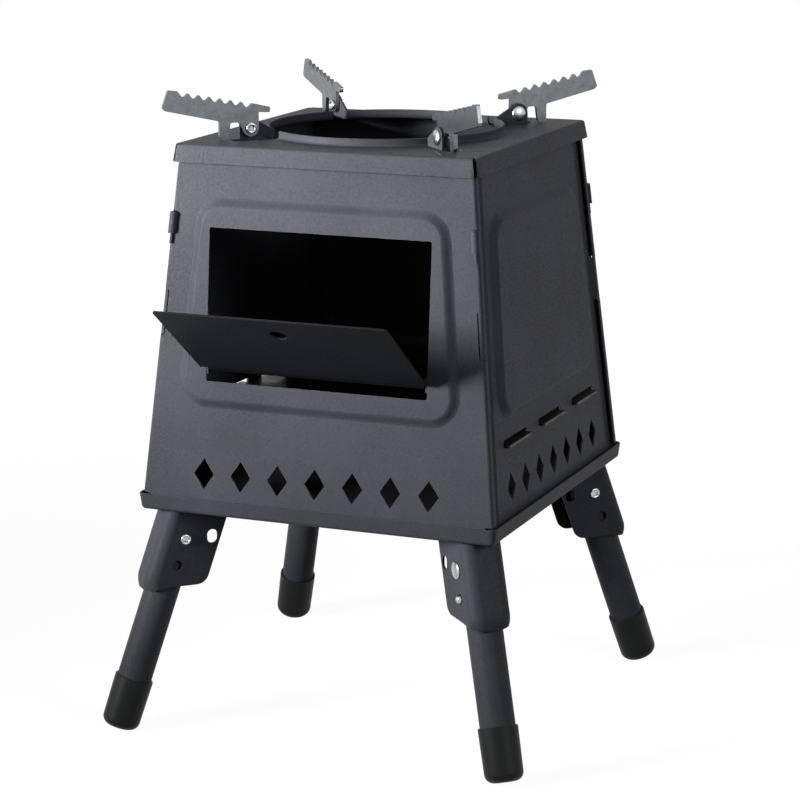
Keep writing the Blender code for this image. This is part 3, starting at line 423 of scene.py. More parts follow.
def diagonal(angle, reach, level):
    """The frame of a corner: X outward along the diagonal, Z up."""
    return Matrix.Rotation(math.radians(angle), 4, "Z") @ Matrix.Translation((reach, 0, level))


def radial(angle=0.0):
    """The upright plane of a diagonal: X outward, Y up; its Z points clockwise seen from above."""
    return Matrix.Rotation(math.radians(angle), 4, "Z") @ axes((1, 0, 0), (0, 0, 1), (0, -1, 0))


def fill(tree, target, inputs):
    """Give a node's inputs a value or a link each."""
    for key, value in inputs.items():
        if isinstance(value, bpy.types.NodeSocket):
            tree.links.new(value, target.inputs[key])
        else:
            target.inputs[key].default_value = value


def node(tree, kind, inputs=None, **settings):
    """Add a node, set its properties, fill its inputs and give back its outputs."""
    made = tree.nodes.new(kind)
    for key, value in settings.items():
        setattr(made, key, value)
    fill(tree, made, inputs or {})
    return made.outputs


def calc(tree, operation, first, second):
    """The result of one operation on two numbers."""
    return node(tree, "ShaderNodeMath", {0: first, 1: second}, operation=operation)[0]


def noise(tree, label, width):
    """A smoothly varying value in 0..1, its grain given in metres."""
    spot = node(tree, "ShaderNodeTexCoord")["Object"]
    return node(tree, "ShaderNodeTexNoise", {"Vector": spot, "Scale": 1 / width, "Detail": 3.0},
                label=label)["Fac"]


def spread(tree, value, low, high, start=0.3, stop=0.7):
    """Map a value onto a new range."""
    return node(tree, "ShaderNodeMapRange", {"Value": value, "From Min": start, "From Max": stop,
                                             "To Min": low, "To Max": high})["Result"]


def bump(tree, height, strength, distance):
    """A bump from a height, its depth given in metres."""
    return node(tree, "ShaderNodeBump", {"Height": height, "Strength": strength,
                                         "Distance": distance})["Normal"]


def blend(tree, share, low, high):
    """A mix of two colours."""
    return node(tree, "ShaderNodeMix", {"Factor": share, 6: (*low, 1), 7: (*high, 1)},
                data_type="RGBA")[2]


def shade(rgb, factor):
    """The same colour lighter or darker."""
    return [min(1, value * factor) for value in rgb]


def powder_coat(tree, rgb):
    """Baked powder coat: a fine pebbled skin over steel, matt, with a breath of light and dark patches."""
    pebbles = noise(tree, "pebbles", 0.0013)
    both = calc(tree, "ADD", noise(tree, "patches", 0.060), pebbles)
    return {"Base Color": blend(tree, spread(tree, both, 0, 1, 0.7, 1.3), shade(rgb, 0.80), shade(rgb, 1.20)),
            "Roughness": spread(tree, pebbles, 0.60, 0.46),
            "Normal": bump(tree, pebbles, 0.8, 0.00020),
            "Specular IOR Level": 0.05}


def zinc_plate(tree, rgb):
    """Zinc plating: pale metal with a faint crystalline mottling and a dull lustre."""
    spot = node(tree, "ShaderNodeTexCoord")["Object"]
    grain = node(tree, "ShaderNodeTexVoronoi", {"Vector": spot, "Scale": 1 / 0.0022})["Color"]
    cloud = noise(tree, "clouds", 0.006)
    both = calc(tree, "ADD", calc(tree, "MULTIPLY", grain, 0.35), cloud)
    share = spread(tree, both, 0, 1, 0.35, 0.95)
    return {"Base Color": blend(tree, share, shade(rgb, 0.62), shade(rgb, 1.12)),
            "Roughness": spread(tree, both, 0.34, 0.24, 0.35, 0.95),
            "Normal": bump(tree, cloud, 0.4, 0.00006),
            "Metallic": 0.92}


def bright_nickel(tree, rgb):
    """Nickel plating: bright metal with a satin haze."""
    return {"Base Color": (*rgb, 1),
            "Roughness": spread(tree, noise(tree, "haze", 0.003), 0.22, 0.32),
            "Metallic": 1.0}


def bare_steel(tree, rgb):
    """Uncoated steel plate: grey rolled metal, dulled in patches; the colour it is given is darkened as
    painted shade of the firebox's inside.
    """
    cloud = noise(tree, "mill scale", 0.012)
    return {"Base Color": blend(tree, spread(tree, cloud, 0, 1), shade(rgb, 0.7), shade(rgb, 1.1)),
            "Roughness": spread(tree, cloud, 0.52, 0.36),
            "Metallic": 0.95}


def foot_rubber(tree, rgb):
    """Moulded rubber: deep black with a soft broad sheen and a very fine grain."""
    return {"Base Color": (*rgb, 1),
            "Normal": bump(tree, noise(tree, "grain", 0.0007), 0.35, 0.00005),
            "Roughness": 0.46,
            "Specular IOR Level": 0.10}


LOOKS = {  # surface: what makes it, its colour in the sidebar, the record's slot
    "powder_coat": (powder_coat, "coat", "powder_coat"),
    # painted shade: the door gets the coat in its darker door colour, standing in for the shade under the
    # open door
    "door_coat": (powder_coat, "door", "powder_coat"),
    "zinc_plate": (zinc_plate, "zinc", "zinc_plate"),
    "nickel": (bright_nickel, "nickel", "nickel"),
    "bare_steel": (bare_steel, "steel", "bare_steel"),
    "rubber": (foot_rubber, "rubber", "rubber"),
}


def finish_of(surface):
    """The material of a surface, made the first time that it is asked for."""
    name = "stove_" + surface
    if name in bpy.data.materials:
        return bpy.data.materials[name]
    made = bpy.data.materials.new(name)
    made.use_nodes = True
    maker, shown_as, _ = LOOKS[surface]
    inputs = maker(made.node_tree, list(getattr(sizes("finishes"), shown_as)))
    fill(made.node_tree, made.node_tree.nodes["Principled BSDF"], inputs)
    return made


def square_ring(half, radius, z, arc_steps=6, side_steps=1):
    """A rounded square at one height, with the same number of points whatever its size."""
    corners = []
    for k in range(4):
        turn = Matrix.Rotation(math.pi / 2 * k, 2)
        side = half - radius
        for i in range(arc_steps + 1):
            a = math.pi / 2 * i / arc_steps
            corners.append(turn @ Vector((side + radius * math.cos(a), side + radius * math.sin(a))))
    ring = []
    for i, point in enumerate(corners):
        ring.append(point)
        if i % (arc_steps + 1) == arc_steps:
            after = corners[(i + 1) % len(corners)]
            ring += [point.lerp(after, j / side_steps) for j in range(1, side_steps)]
    return [Vector((p.x, p.y, z)) for p in ring]


def round_ring(radius, z, arc_steps, side_steps):
    """A circle at one height whose points match those of a square ring."""
    total = 4 * (arc_steps + side_steps)
    ring = []
    for i in range(total):
        a = math.pi / 4 + (i - arc_steps / 2) * 2 * math.pi / total
        ring.append(Vector((radius * math.cos(a), radius * math.sin(a), z)))
    return ring


def shares(steps):
    """Even shares from 0 to 1."""
    return [i / steps for i in range(steps + 1)]


def ease(share):
    """A soft start and end of a slope: half a wave of the cosine."""
    return (1 - math.cos(math.pi * share)) / 2


def wall_prism(name, section, low, high):
    """A tapered prism leaning in as it rises, from (x, y, side) points at the datum height."""
    size = sizes("walls")
    rings = []
    for z in (low, high):
        lean = size.taper * (z - size.tray_top)
        rings.append([Vector((x - side * lean, y + lean, z)) for x, y, side in section])
    return loft(name, rings)


def wall_frame(reach):
    """The frame of a wall's outer face: X along it, Y up its slope, Z out of it."""
    size = sizes("walls")
    lean = math.atan(size.taper)
    return axes((1, 0, 0), (0, math.sin(lean), math.cos(lean)), (0, -math.cos(lean), math.sin(lean)),
                (0, -reach, size.tray_top))


def up_wall(z, out=0.0):
    """Distance up the slope of a wall at which a point, out of its face, has height z."""
    size = sizes("walls")
    lean = math.atan(size.taper)
    return (z - size.tray_top - out * math.sin(lean)) / math.cos(lean)


def tray_levels():
    """Heights of the tray's underside and of its floor."""
    size = sizes("walls")
    bottom = size.tray_top - size.tray_lip
    return bottom, bottom + size.sheet


def emboss(wall, half, head_level, reach):
    """Press a raised panel with softly curved edges out of a wall, narrowing upward with it."""
    size = sizes("walls")
    place = wall_frame(reach)
    low, high = up_wall(size.emboss_low), up_wall(head_level)
    narrowing = math.sin(math.atan(size.taper))

    def ring(inset, level):
        foot, head = low + inset, high - inset
        wide, narrow = half - narrowing * foot - inset, half - narrowing * head - inset
        radius = size.emboss_corner - inset
        outline = rounded([(-wide, foot, radius), (wide, foot, radius),
                           (narrow, head, radius), (-narrow, head, radius)])
        return [place @ Vector((x, y, level)) for x, y in outline]

    steps = [(size.emboss_slope * share, size.emboss_rise * ease(share)) for share in shares(SWELL_STEPS)[1:]]
    weld(wall, loft("swell", [ring(0, -size.sheet / 2)] + [ring(*step) for step in steps]))
    inner = [ring(0, -size.sheet * 3 / 2)] + [ring(inset, level - size.sheet) for inset, level in steps]
    cut(wall, loft("hollow", inner))


def node_group(name, **inputs):
    """A new geometry node group, and its inputs as seen from within."""
    tree = bpy.data.node_groups.new(name, "GeometryNodeTree")
    for label, kind in inputs.items():
        tree.interface.new_socket(label, in_out="INPUT", socket_type="NodeSocket" + kind)
    tree.interface.new_socket("Geometry", in_out="OUTPUT", socket_type="NodeSocketGeometry")
    return tree, node(tree, "NodeGroupInput")


def finish_group(tree, instances, material):
    """End a node group: make its instances real and give them their material."""
    real = node(tree, "GeometryNodeRealizeInstances", {"Geometry": instances})[0]
    coated = node(tree, "GeometryNodeSetMaterial", {"Geometry": real, "Material": material})[0]
    node(tree, "NodeGroupOutput", {"Geometry": coated})


def run_group(body, tree, **values):
    """Run a node group on a piece with the given inputs and keep the result."""
    modifier = body.modifiers.new(tree.name, "NODES")
    modifier.node_group = tree
    for item in tree.interface.items_tree:
        if item.in_out == "INPUT" and item.name in values:
            modifier[item.identifier] = values[item.name]
    settle(body)


def grid_group():
    """The node group that lays out a grid of straight cutters."""
    tree, given = node_group("cutter_grid", Columns="Int", Rows="Int", Pitch="Float", Sides="Int",
                             Size="Vector", Turn="Float", Material="Material")
    unit = node(tree, "GeometryNodeMeshCylinder", {"Vertices": given["Sides"], "Radius": 1.0, "Depth": 2.0},
                fill_type="NGON")["Mesh"]
    turn = node(tree, "ShaderNodeCombineXYZ", {"Z": given["Turn"]})[0]
    spun = node(tree, "GeometryNodeTransform", {"Geometry": unit, "Rotation": turn})[0]
    layout = node(tree, "GeometryNodeTransform", {"Geometry": spun, "Scale": given["Size"]})[0]
    for total, axis in (("Columns", "X"), ("Rows", "Y")):
        width = calc(tree, "MULTIPLY", calc(tree, "SUBTRACT", given[total], 1.0), given["Pitch"])
        first = node(tree, "ShaderNodeCombineXYZ", {axis: calc(tree, "MULTIPLY", width, -0.5)})[0]
        step = node(tree, "ShaderNodeCombineXYZ", {axis: given["Pitch"]})[0]
        spots = {"Count": given[total], "Start Location": first, "Offset": step}
        line = node(tree, "GeometryNodeMeshLine", spots, mode="OFFSET")[0]
        layout = node(tree, "GeometryNodeInstanceOnPoints", {"Points": line, "Instance": layout})[0]
    finish_group(tree, layout, given["Material"])
    return tree


def instance_grid(name, columns, rows, pitch, sides, size):
    """A grid of straight cutters: how many, how far apart, with how many sides, and half their size."""
    body = link(name, bmesh.new())
    run_group(body, bpy.data.node_groups.get("cutter_grid") or grid_group(), Columns=columns, Rows=rows,
              Pitch=pitch, Sides=sides, Size=size, Turn=math.pi / sides if sides > 4 else 0.0,
              Material=finish_of("powder_coat"))
    return body


def pierce_diamonds(wall, reach):
    """Cut the row of diamond air holes along the foot of a wall."""
    size = sizes("walls")
    half_size = (size.diamond_width / 2, size.diamond_height / 2, 3 * size.sheet)
    cutters = instance_grid("diamonds", size.diamonds, 1, size.diamond_pitch, 4, half_size)
    cutters.data.transform(wall_frame(reach) @ Matrix.Translation((0, up_wall(size.diamond_level), 0)))
    cut(wall, cutters)


def mirror_section(section):
    """The same section on the other side of a wall."""
    return [(-x, y, -side) for x, y, side in reversed(section)]


def anchored(points):
    """Section points that follow the right edge of a wall."""
    return [(x, y, 1) for x, y in points]


def strip(path, thickness):
    """The outline of a sheet of even thickness along a path."""
    left, right = [], []
    for i, point in enumerate(path):
        here = Vector(point)
        before = Vector(path[max(i - 1, 0)])
        after = Vector(path[min(i + 1, len(path) - 1)])
        along = (after - before).normalized()
        bend = (after - here).normalized().dot(along) if 0 < i < len(path) - 1 else 1.0
        aside = Vector((-along.y, along.x)) * thickness / 2 / max(bend, 0.5)
        left.append(tuple(here + aside))
        right.append(tuple(here - aside))
    return left + right[::-1]


def face_wall(name):
    """Front or back wall: a slanted sheet with edges folded back, raised panel and pin barrels."""
    size = sizes("walls")
    half, face = size.face_half, -size.face_reach
    bottom, floor = tray_levels()
    lift, notch = 0.0010, 0.0034  # foot over the tray's floor; width of the notch for a hook
    past, rounding = 0.002, 0.00035  # bore past its barrel; edges of the sheet
    bend = (half - size.bend, face + size.bend)
    outer = arc(*bend, size.bend, -90, 0, SMALL_ARC) + [(half, face + size.flange)]
    inner = arc(*bend, size.bend - size.sheet, -90, 0, SMALL_ARC) + [(half - size.sheet, face + size.flange)]
    right = anchored(outer + inner[::-1])
    section = mirror_section(anchored(outer)) + right + mirror_section(anchored(inner[::-1]))
    wall = wall_prism(name, section, floor + lift, size.top)
    soften(wall, rounding)
    emboss(wall, half - size.face_margin, size.face_high, size.face_reach)
    pierce_diamonds(wall, size.face_reach)
    reach = 2 * size.flange
    centre = (half - size.barrel_inset, face - size.barrel_out)
    for flip in (list, mirror_section):
        for inset, low, high in ((size.relief, bottom, size.tray_top + GAP),
                                 (notch, size.hook_low - GAP, size.hook_high + GAP)):
            box = [(half - inset, face - reach), (half + reach, face - reach),
                   (half + reach, face + reach), (half - inset, face + reach)]
            cut(wall, wall_prism("relief", flip(anchored(box)), low, high))
        barrel = anchored(circle(size.barrel_radius, *centre, HOLE_STEPS))
        weld(wall, wall_prism("barrel", flip(barrel), size.barrel_low, size.barrel_high))
        bore = anchored(circle(size.pin_radius + GAP, *centre, BORE_STEPS))
        cut(wall, wall_prism("bore", flip(bore), size.pin_low - GAP, size.barrel_high + past))
    return wall


def side_wall(name):
    """Side wall: a sheet with stepped margins, hooks for the corners and slots for the grate."""
    size = sizes("walls")
    reach = size.face_half - size.recess
    end = size.face_reach - size.sheet - GAP
    start = end - size.margin - size.run / 2
    step = size.joggle - reach
    outer = [(start + size.run * share, size.joggle * ease(share) - reach, 1)
             for share in shares(JOGGLE_STEPS)]
    outer.append((end, step, 1))
    inner = [(x, y + size.sheet, side) for x, y, side in reversed(outer)]
    section = mirror_section(outer) + outer + inner + mirror_section(inner)
    wall = wall_prism(name, section, tray_levels()[1] + GAP, size.top)
    soften(wall)
    emboss(wall, size.face_reach - size.side_margin, size.side_high, reach)
    pierce_diamonds(wall, reach)
    middle = step + size.sheet / 2
    crest = size.sheet / 2 - size.face_half
    # corners of the hook, in from the front wall; then its bend and how far its tip turns in
    root, rise, turn, tip = (size.face_reach - inset for inset in (0.0074, 0.0046, 0.0022, 0.0008))
    curl, tip_depth = 0.0014, 0.0020
    path = [(root, middle), (rise, crest), (turn, crest)]
    path += arc(turn, crest + curl, curl, -90, 0, SMALL_ARC)[1:] + [(tip, crest + tip_depth)]
    hook = anchored(strip(path, size.hook_sheet))
    for flip in (list, mirror_section):
        weld(wall, wall_prism("hook", flip(hook), size.hook_low, size.hook_high))
    low, high = up_wall(size.slot_low), up_wall(size.slot_low + size.slot_height)
    slot_corner, depth = 0.0010, 3 * size.sheet
    for i in (-1, 0, 1):
        x = i * size.slot_pitch
        outline = rectangle(x - size.slot_half, x + size.slot_half, low, high, slot_corner)
        cut(wall, prism("slot", outline, -depth, depth, wall_frame(reach)))
    return wall


def hinge_axis():
    """Where the door's pin runs: distance up the wall, out of its face, and the point itself."""
    walls, door = sizes("walls"), sizes("door")
    out = walls.emboss_rise + GAP - door.joggle - door.bore
    up = up_wall(door.level, out)
    return up, out, wall_frame(walls.face_reach) @ Vector((0, up, out))


def open_doorway(wall):
    """Cut the fuel opening in the front wall and fold in the two lugs of the door's pin."""
    walls, door = sizes("walls"), sizes("door")
    place = wall_frame(walls.face_reach)
    up, out, _ = hinge_axis()
    sill, head = up_wall(door.opening_low), up_wall(door.opening_high)
    outline = rectangle(-door.opening_half, door.opening_half, sill, head, door.opening_corner)
    cut(wall, prism("doorway", outline, -REACH, REACH, place))
    front = walls.emboss_rise - walls.sheet / 4
    lug = [(front, up + door.lug), (out, up + door.lug)] + arc(out, up, door.lug, 90, 270)[1:]
    lug += [(front, up - door.lug)]
    sideways = place @ axes((0, 0, 1), (0, 1, 0), (-1, 0, 0))
    root = 0.0004  # how far a lug reaches into the sheet beside the opening
    edge = door.opening_half + root
    for side in (-1, 1):
        low, high = sorted((side * (edge - door.lug_sheet), side * edge))
        weld(wall, prism("lug", lug, low, high, sideways))


def make_door():
    """Fuel door lying along +Z from its hinge axis, with its outer face to -Y."""
    size = sizes("door")
    slope, inner_corner = 0.0020, 0.002  # run of the tongue's step; its fillet
    past, knuckle_arc = 0.001, 12  # cutters past the plate; degrees in one step of the knuckle
    plate_in = size.bore + size.joggle
    plate_out = plate_in + size.sheet
    curl = size.bore + size.sheet
    meet = math.sqrt(curl ** 2 - size.bore ** 2)
    start = math.degrees(math.atan2(size.bore, meet))
    low = size.shoulder - slope
    profile = [(size.long, plate_out), (size.shoulder, plate_out), (low, curl)]
    profile += arc(0, 0, curl, 90, 360 + start, knuckle_arc)
    profile += [(low, size.bore), (size.shoulder, plate_in), (size.long, plate_in)]
    side = axes((0, 0, 1), (0, -1, 0), (1, 0, 0))
    door = prism("door_plate", profile, -size.half, size.half, side)
    outer = size.half + REACH
    cut(door, prism("knuckle_bore", circle(size.bore, steps=BORE_STEPS), -outer, outer, side))
    flat = axes((1, 0, 0), (0, 0, 1), (0, -1, 0))
    centre = (size.half - size.corner, size.long - size.corner)
    end, beside = size.long + past, size.half + past
    for sign in (-1, 1):
        tongue = sign * size.tongue_half
        notch = rounded([(tongue, -REACH, 0), (sign * outer, -REACH, 0), (sign * outer, size.shoulder, 0),
                         (tongue, size.shoulder, inner_corner)])
        cut(door, prism("step", notch, -REACH, REACH, flat))
        tip = [(sign * beside, end), (sign * centre[0], end)]
        tip += [(sign * x, y) for x, y in arc(*centre, size.corner, 90, 0, SMALL_ARC)]
        tip += [(sign * beside, centre[1])]
        cut(door, prism("tip", tip, -REACH, REACH, flat))
    cut(door, prism("finger_hole", circle(size.hole, 0, size.long - size.hole_setback), -REACH, REACH, flat))
    soften(door)
    return door


def make_tray():
    """Shallow pan with an upright lip."""
    size = sizes("walls")
    centre = (size.tray_floor - size.tray_bend, tray_levels()[0] + size.tray_bend)
    spare = size.tray_half - size.tray_corner
    edge, top, inside = size.sheet / 3, size.tray_top, size.tray_half - size.sheet
    outer = arc(*centre, size.tray_bend, -90, 0)
    outer += [(size.tray_half, top - edge), (size.tray_half - edge, top)]
    inner = arc(*centre, size.tray_bend - size.sheet, -90, 0) + [(inside, top - edge), (inside + edge, top)]
    return loft("tray_pan", [square_ring(half, half - spare, z) for half, z in outer + inner[::-1]])


def make_grate():
    """Perforated plate whose tabs pass through the slots of the side walls."""
    size = sizes("walls")
    play, corner = 2 * GAP, 0.0015  # to the walls; fillet of the corners
    level = size.slot_low + GAP
    lean = size.taper * (level - size.tray_top)
    wide = size.face_half - size.recess - size.sheet - lean - play
    deep = size.face_reach - size.sheet - lean - play
    edge = size.face_half - size.recess - lean + size.tab_reach
    side_cut = wide - size.joggle
    step = deep - size.margin - size.run
    half = [(side_cut, -deep, corner), (side_cut, -step, 0), (wide, -step, 0)]
    for i in (-1, 0, 1):
        low, high = i * size.slot_pitch - size.tab_half, i * size.slot_pitch + size.tab_half
        half += [(wide, low, 0), (edge, low, corner), (edge, high, corner), (wide, high, 0)]
    half += [(wide, step, 0), (side_cut, step, 0), (side_cut, deep, corner)]
    outline = rounded(half + [(-x, -y, radius) for x, y, radius in half])
    grate = prism("grate_plate", outline, level, level + size.grate_sheet)
    holes = instance_grid("holes", size.grate_holes, size.grate_holes, size.grate_pitch, HOLE_STEPS,
                          (size.grate_hole, size.grate_hole, REACH))
    holes.data.transform(Matrix.Translation((0, 0, level)))
    cut(grate, holes)
    soften(grate, THIN_EDGE)
    return grate


def make_lid():
    """Lid pan with skirt, collar round the opening, slots and four ears."""
    size = sizes("lid")
    steps = {"arc_steps": 4, "side_steps": 20}
    least_corner, play = 0.0008, 0.0002  # inner corners of the skirt; between ear and slot
    ear_turn, sunk = 112, 0.6  # degrees round an ear's head; share of the plate that its foot goes down
    rings = []

    def squares(points):
        for half, z in points:
            radius = max(size.corner + half - size.half, least_corner)
            rings.append(square_ring(half, radius, z, **steps))

    def circles(points):
        for radius, z in points:
            rings.append(round_ring(radius, z, **steps))

    bend = (size.half - size.bend, size.top - size.bend)
    foot, rim, edge = size.top - size.skirt, size.top + size.collar_rise, size.sheet / 4
    curl = (size.collar + size.collar_bend, size.top + size.collar_bend)
    inside = size.collar - size.sheet
    squares([(size.half + size.flare, foot)] + arc(*bend, size.bend, 0, 90, SMALL_ARC))
    circles(arc(*curl, size.collar_bend, 270, 180, SMALL_ARC))
    circles([(size.collar, rim - edge), (size.collar - edge, rim)])
    circles([(inside + edge, rim), (inside, rim - edge)])
    circles(arc(*curl, size.collar_bend + size.sheet, 180, 270, SMALL_ARC))
    squares(arc(*bend, size.bend - size.sheet, 90, 0, SMALL_ARC))
    squares([(size.half + size.flare - size.sheet, foot)])
    lid = loft("lid_pan", rings, True)
    ear_face = size.support / 2 + GAP
    slot_edge = ear_face + play
    reach, level = size.pivot_reach, size.pivot_level
    middle = size.collar - size.sheet / 2
    root = size.top - size.sheet * sunk
    ear = [(middle, root), (reach + size.ear_radius, root)] + arc(reach, level, size.ear_radius, 0, ear_turn)
    ear += [(middle, rim - play)]
    above = size.top + REACH
    slit = rectangle(size.slit_start, size.slit_start + 2 * REACH, size.top - 2 * REACH, above)
    slot = rectangle(size.collar - REACH, size.slot_reach, size.top - REACH, above)
    for _, angle in CORNERS:
        plane = radial(angle)
        cut(lid, prism("slit", slit, -size.slit / 2, size.slit / 2, plane))
        cut(lid, prism("slot", slot, slot_edge - size.slot, slot_edge, plane))
        tab = prism("ear", ear, ear_face, ear_face + size.ear, plane)
        soften(tab, THIN_EDGE)
        weld(lid, tab)
    return lid


def make_support():
    """Toothed pot support in its own frame: pivot at the origin, X outward, Z up."""
    size = sizes("lid")
    slope = math.tan(math.radians(size.tooth_slope))
    small, fine, valley, toe = 0.0012, 0.0006, 0.0020, 0.0024  # fillets of the outline's (x, z) corners
    crest_x, crest_z = 0.0470, 0.0249
    corners = [(0.0550, 0.0129, small), (0.0569, 0.0149, small), (0.0530, 0.0257, small),
               (crest_x, crest_z, fine)]
    for i in range(size.teeth):
        for part, depth, radius in ((0.5, size.tooth_depth, valley), (1, 0, fine)):
            run = (i + part) * size.tooth_pitch
            corners.append((crest_x - run, crest_z - run * slope - depth, radius))
    corners += [(-0.0127, 0.0126, small), (-0.0127, 0.0091, small), (-size.lobe, 0.0096, small)]
    outline = rounded(corners) + arc(0, 0, size.lobe, 180, 340)
    foot = size.top + GAP - size.pivot_level
    heel = rounded([(size.lobe, 0, 0), (0.0078, 0.0038, small), (0.0132, 0.0038, small), (0.0147, foot, toe),
                    (0.0205, foot, toe), (0.0205, 0.0051, small), (0.0550, 0.0129, 0)])
    support = prism("pot_support", outline + heel[1:-1], -size.support / 2, size.support / 2, radial())
    bore = circle(size.shank + GAP, steps=BORE_STEPS)
    cut(support, prism("support_bore", bore, -REACH, REACH, radial()))
    soften(support)
    return support


def rivet(name, shank, low, high, head, rise, ring):
    """Rivet along its own Z: a rolled ring below low and a domed head above high."""
    lip, eye, brim = 0.0011, ring / 2, rise * 0.1  # rolled end, its eye, and the rim of the head
    dish = low - lip * 0.2
    profile = [(eye * POLE, dish), (eye * 0.75, dish)]
    profile += arc((eye + ring) / 2, low - lip / 2, (ring - eye) / 2, 180, 360, SMALL_ARC)
    profile += [(ring, low), (shank, low), (shank, high), (head * 0.985, high), (head, high + brim)]
    profile += dome(head, high + brim, rise - brim, POLE / 2)[1:]
    return turned(name, profile, HEAD_STEPS)


def leg_frame():
    """From a leg's own frame, tube along Z and spine side +X, to the frame of its diagonal."""
    return Matrix.Rotation(math.radians(-sizes("legs").splay), 4, "Y")


def make_tube():
    """Leg tube hanging along -Z from its pivot, its head rounded to swing inside the bracket."""
    size = sizes("legs")
    inner = size.tube - size.wall
    low = size.cap_floor + GAP - size.long
    profile = [(size.tube, low), (size.tube, size.head), (inner, size.head), (inner, low)]
    tube = turned("leg_tube", profile, TUBE_STEPS, True)
    wide, far = 0.013, 0.2  # half width and reach of the block that rounds the head
    head = [(-wide, -far), (wide, -far), (wide, 0)] + arc(0, 0, size.head, 0, 180) + [(-wide, 0)]
    combine(tube, prism("head", head, -wide, wide, radial()), "INTERSECT")
    bore = circle(size.lock_radius + GAP, 0, -size.lock, HOLE_STEPS)
    cut(tube, prism("lock_bore", bore, size.tube / 2, 2 * size.tube, radial()))
    return tube


def make_cap():
    """Rubber foot cap on the end of a tube, with a flat where it stands on the ground."""
    size = sizes("legs")
    rim, end = size.cap_long - size.long, -size.long
    low = size.cap - size.cap_taper
    bore = size.tube + GAP
    floor = end + size.cap_floor
    lip, far = 0.0004, 0.1  # bevel of the rim; reach of the block that cuts the flat
    profile = [(bore * POLE, floor), (bore, floor), (bore, rim - lip), (bore + lip, rim),
               (size.cap - lip, rim), (size.cap, rim - lip)]
    profile += arc(low - size.cap_round, end + size.cap_round, size.cap_round, 0, -90)
    profile += [(bore * POLE, end)]
    cap = turned("foot_cap", profile, TUBE_STEPS)
    ground = rectangle(-far, 3 * far, -far, far)
    cut(cap, prism("ground", ground, -size.pivot_level - far / 2, -size.pivot_level, leg_frame().inverted()))
    return cap


def bracket_section(half, spine, bend):
    """U section of a bracket in the leg's frame, spine towards +X."""
    size = sizes("legs")
    centre = (spine - bend, half - bend)
    outer = [(-size.cheek, half)] + arc(*centre, bend, 90, 0)
    inner = [(-size.cheek, half - size.sheet)] + arc(*centre, bend - size.sheet, 90, 0)
    outer += [(x, -y) for x, y in reversed(outer)]
    inner += [(x, -y) for x, y in reversed(inner)]
    return outer + inner[::-1]


def make_bracket():
    """Folded channel under the tray, closed in round the tube at its lower end."""
    size = sizes("legs")
    splay = math.radians(size.splay)
    head, deep, play = 0.03, 0.02, 0.0002  # loft over the pivot; half depth of cutters; trim of the cheeks
    nose_bend = size.nose - 2 * GAP
    stations = [(head, 0.0)]
    stations += [(-size.nose_drop - size.nose_long * share, share) for share in shares(NOSE_STEPS)]
    stations.append((-2 * size.nose_drop, 1.0))
    rings = []
    for height, share in stations:
        section = [start + (end - start) * share ** 2 for start, end in
                   ((size.half, size.nose), (size.spine, size.nose), (size.bend, nose_bend))]
        rings.append([Vector((x, y, height)) for x, y in bracket_section(*section)])
    bracket = loft("leg_bracket", rings)
    upright = leg_frame().inverted() @ radial()
    cheek_low, spine_low = size.cheek_low - size.pivot_level, size.spine_low - size.pivot_level
    top = tray_levels()[0] - GAP - size.pivot_level

    def edge(z, v):
        return (v - z * math.sin(splay)) / math.cos(splay)

    inside, outside = play - size.cheek, 2 * size.spine
    outline = rounded([(edge(cheek_low, inside), cheek_low, size.corner),
                       (-math.tan(splay) * cheek_low, cheek_low, 0), (edge(spine_low, outside), spine_low, 0),
                       (edge(top, outside), top, 0), (edge(top, inside), top, 0)])
    combine(bracket, prism("blank", outline, -deep, deep, upright), "INTERSECT")
    cut(bracket, prism("lock_hole", circle(size.lock_hole, 0, -size.lock, HOLE_STEPS), -deep, deep, radial()))
    straight = size.slot_long / 2 - size.slot_radius
    slot = [point for turn, x in ((0, straight), (180, -straight))
            for point in arc(-size.lock, x, size.slot_radius, turn, turn + 180)]
    cut(bracket, prism("fold_slot", slot, -deep, deep, upright))
    soften(bracket)
    return bracket


def make_button(name):
    """Domed lock button along its own Z, measured from the tube's axis."""
    size = sizes("legs")
    base = size.tube + GAP
    profile = [(size.lock_radius * POLE, base), (size.lock_radius, base)]
    profile += dome(size.lock_radius, size.half, size.lock_radius)
    return turned(name, profile, HEAD_STEPS)


def ring_group():
    """The node group that copies a piece round the stove's axis."""
    tree, given = node_group("copies_round_axis", Geometry="Geometry", Copies="Int", Start="Float",
                             Step="Float", Material="Material")
    line = node(tree, "GeometryNodeMeshLine", {"Count": given["Copies"], "Offset": (0, 0, 0)},
                mode="OFFSET")[0]
    index = node(tree, "GeometryNodeInputIndex")[0]
    angle = calc(tree, "ADD", calc(tree, "MULTIPLY", index, given["Step"]), given["Start"])
    spin = node(tree, "ShaderNodeCombineXYZ", {"Z": angle})[0]
    ring = node(tree, "GeometryNodeInstanceOnPoints",
                {"Points": line, "Instance": given["Geometry"], "Rotation": spin})[0]
    finish_group(tree, ring, given["Material"])
    return tree


def repeat_round(body, name, surface, copies=4, start=-45, step=90):
    """Copies of a piece round the stove's axis, as one mesh: how many, the first angle, the step."""
    run_group(body, bpy.data.node_groups.get("copies_round_axis") or ring_group(), Copies=copies,
              Start=math.radians(start), Step=math.radians(step), Material=finish_of(surface))
    body.name = name


def names(stem, corners=tuple(corner for corner, _ in CORNERS)):
    """The nodes of a kind at the given corners."""
    return [stem + "_" + corner for corner in corners]


def seen_directly(tree):
    """Whether a ray comes from the camera, a mirror or a clear piece, which then see pure white."""
    path = node(tree, "ShaderNodeLightPath")
    share = path["Is Camera Ray"]
    for kind in ("Is Glossy Ray", "Is Transmission Ray"):
        share = calc(tree, "MAXIMUM", share, path[kind])
    return share


def dim_or_bright(tree, dim, bright):
    """One shader for the light that falls on the stove, another for what is seen directly."""
    return node(tree, "ShaderNodeMixShader", {0: seen_directly(tree), 1: dim, 2: bright})[0]


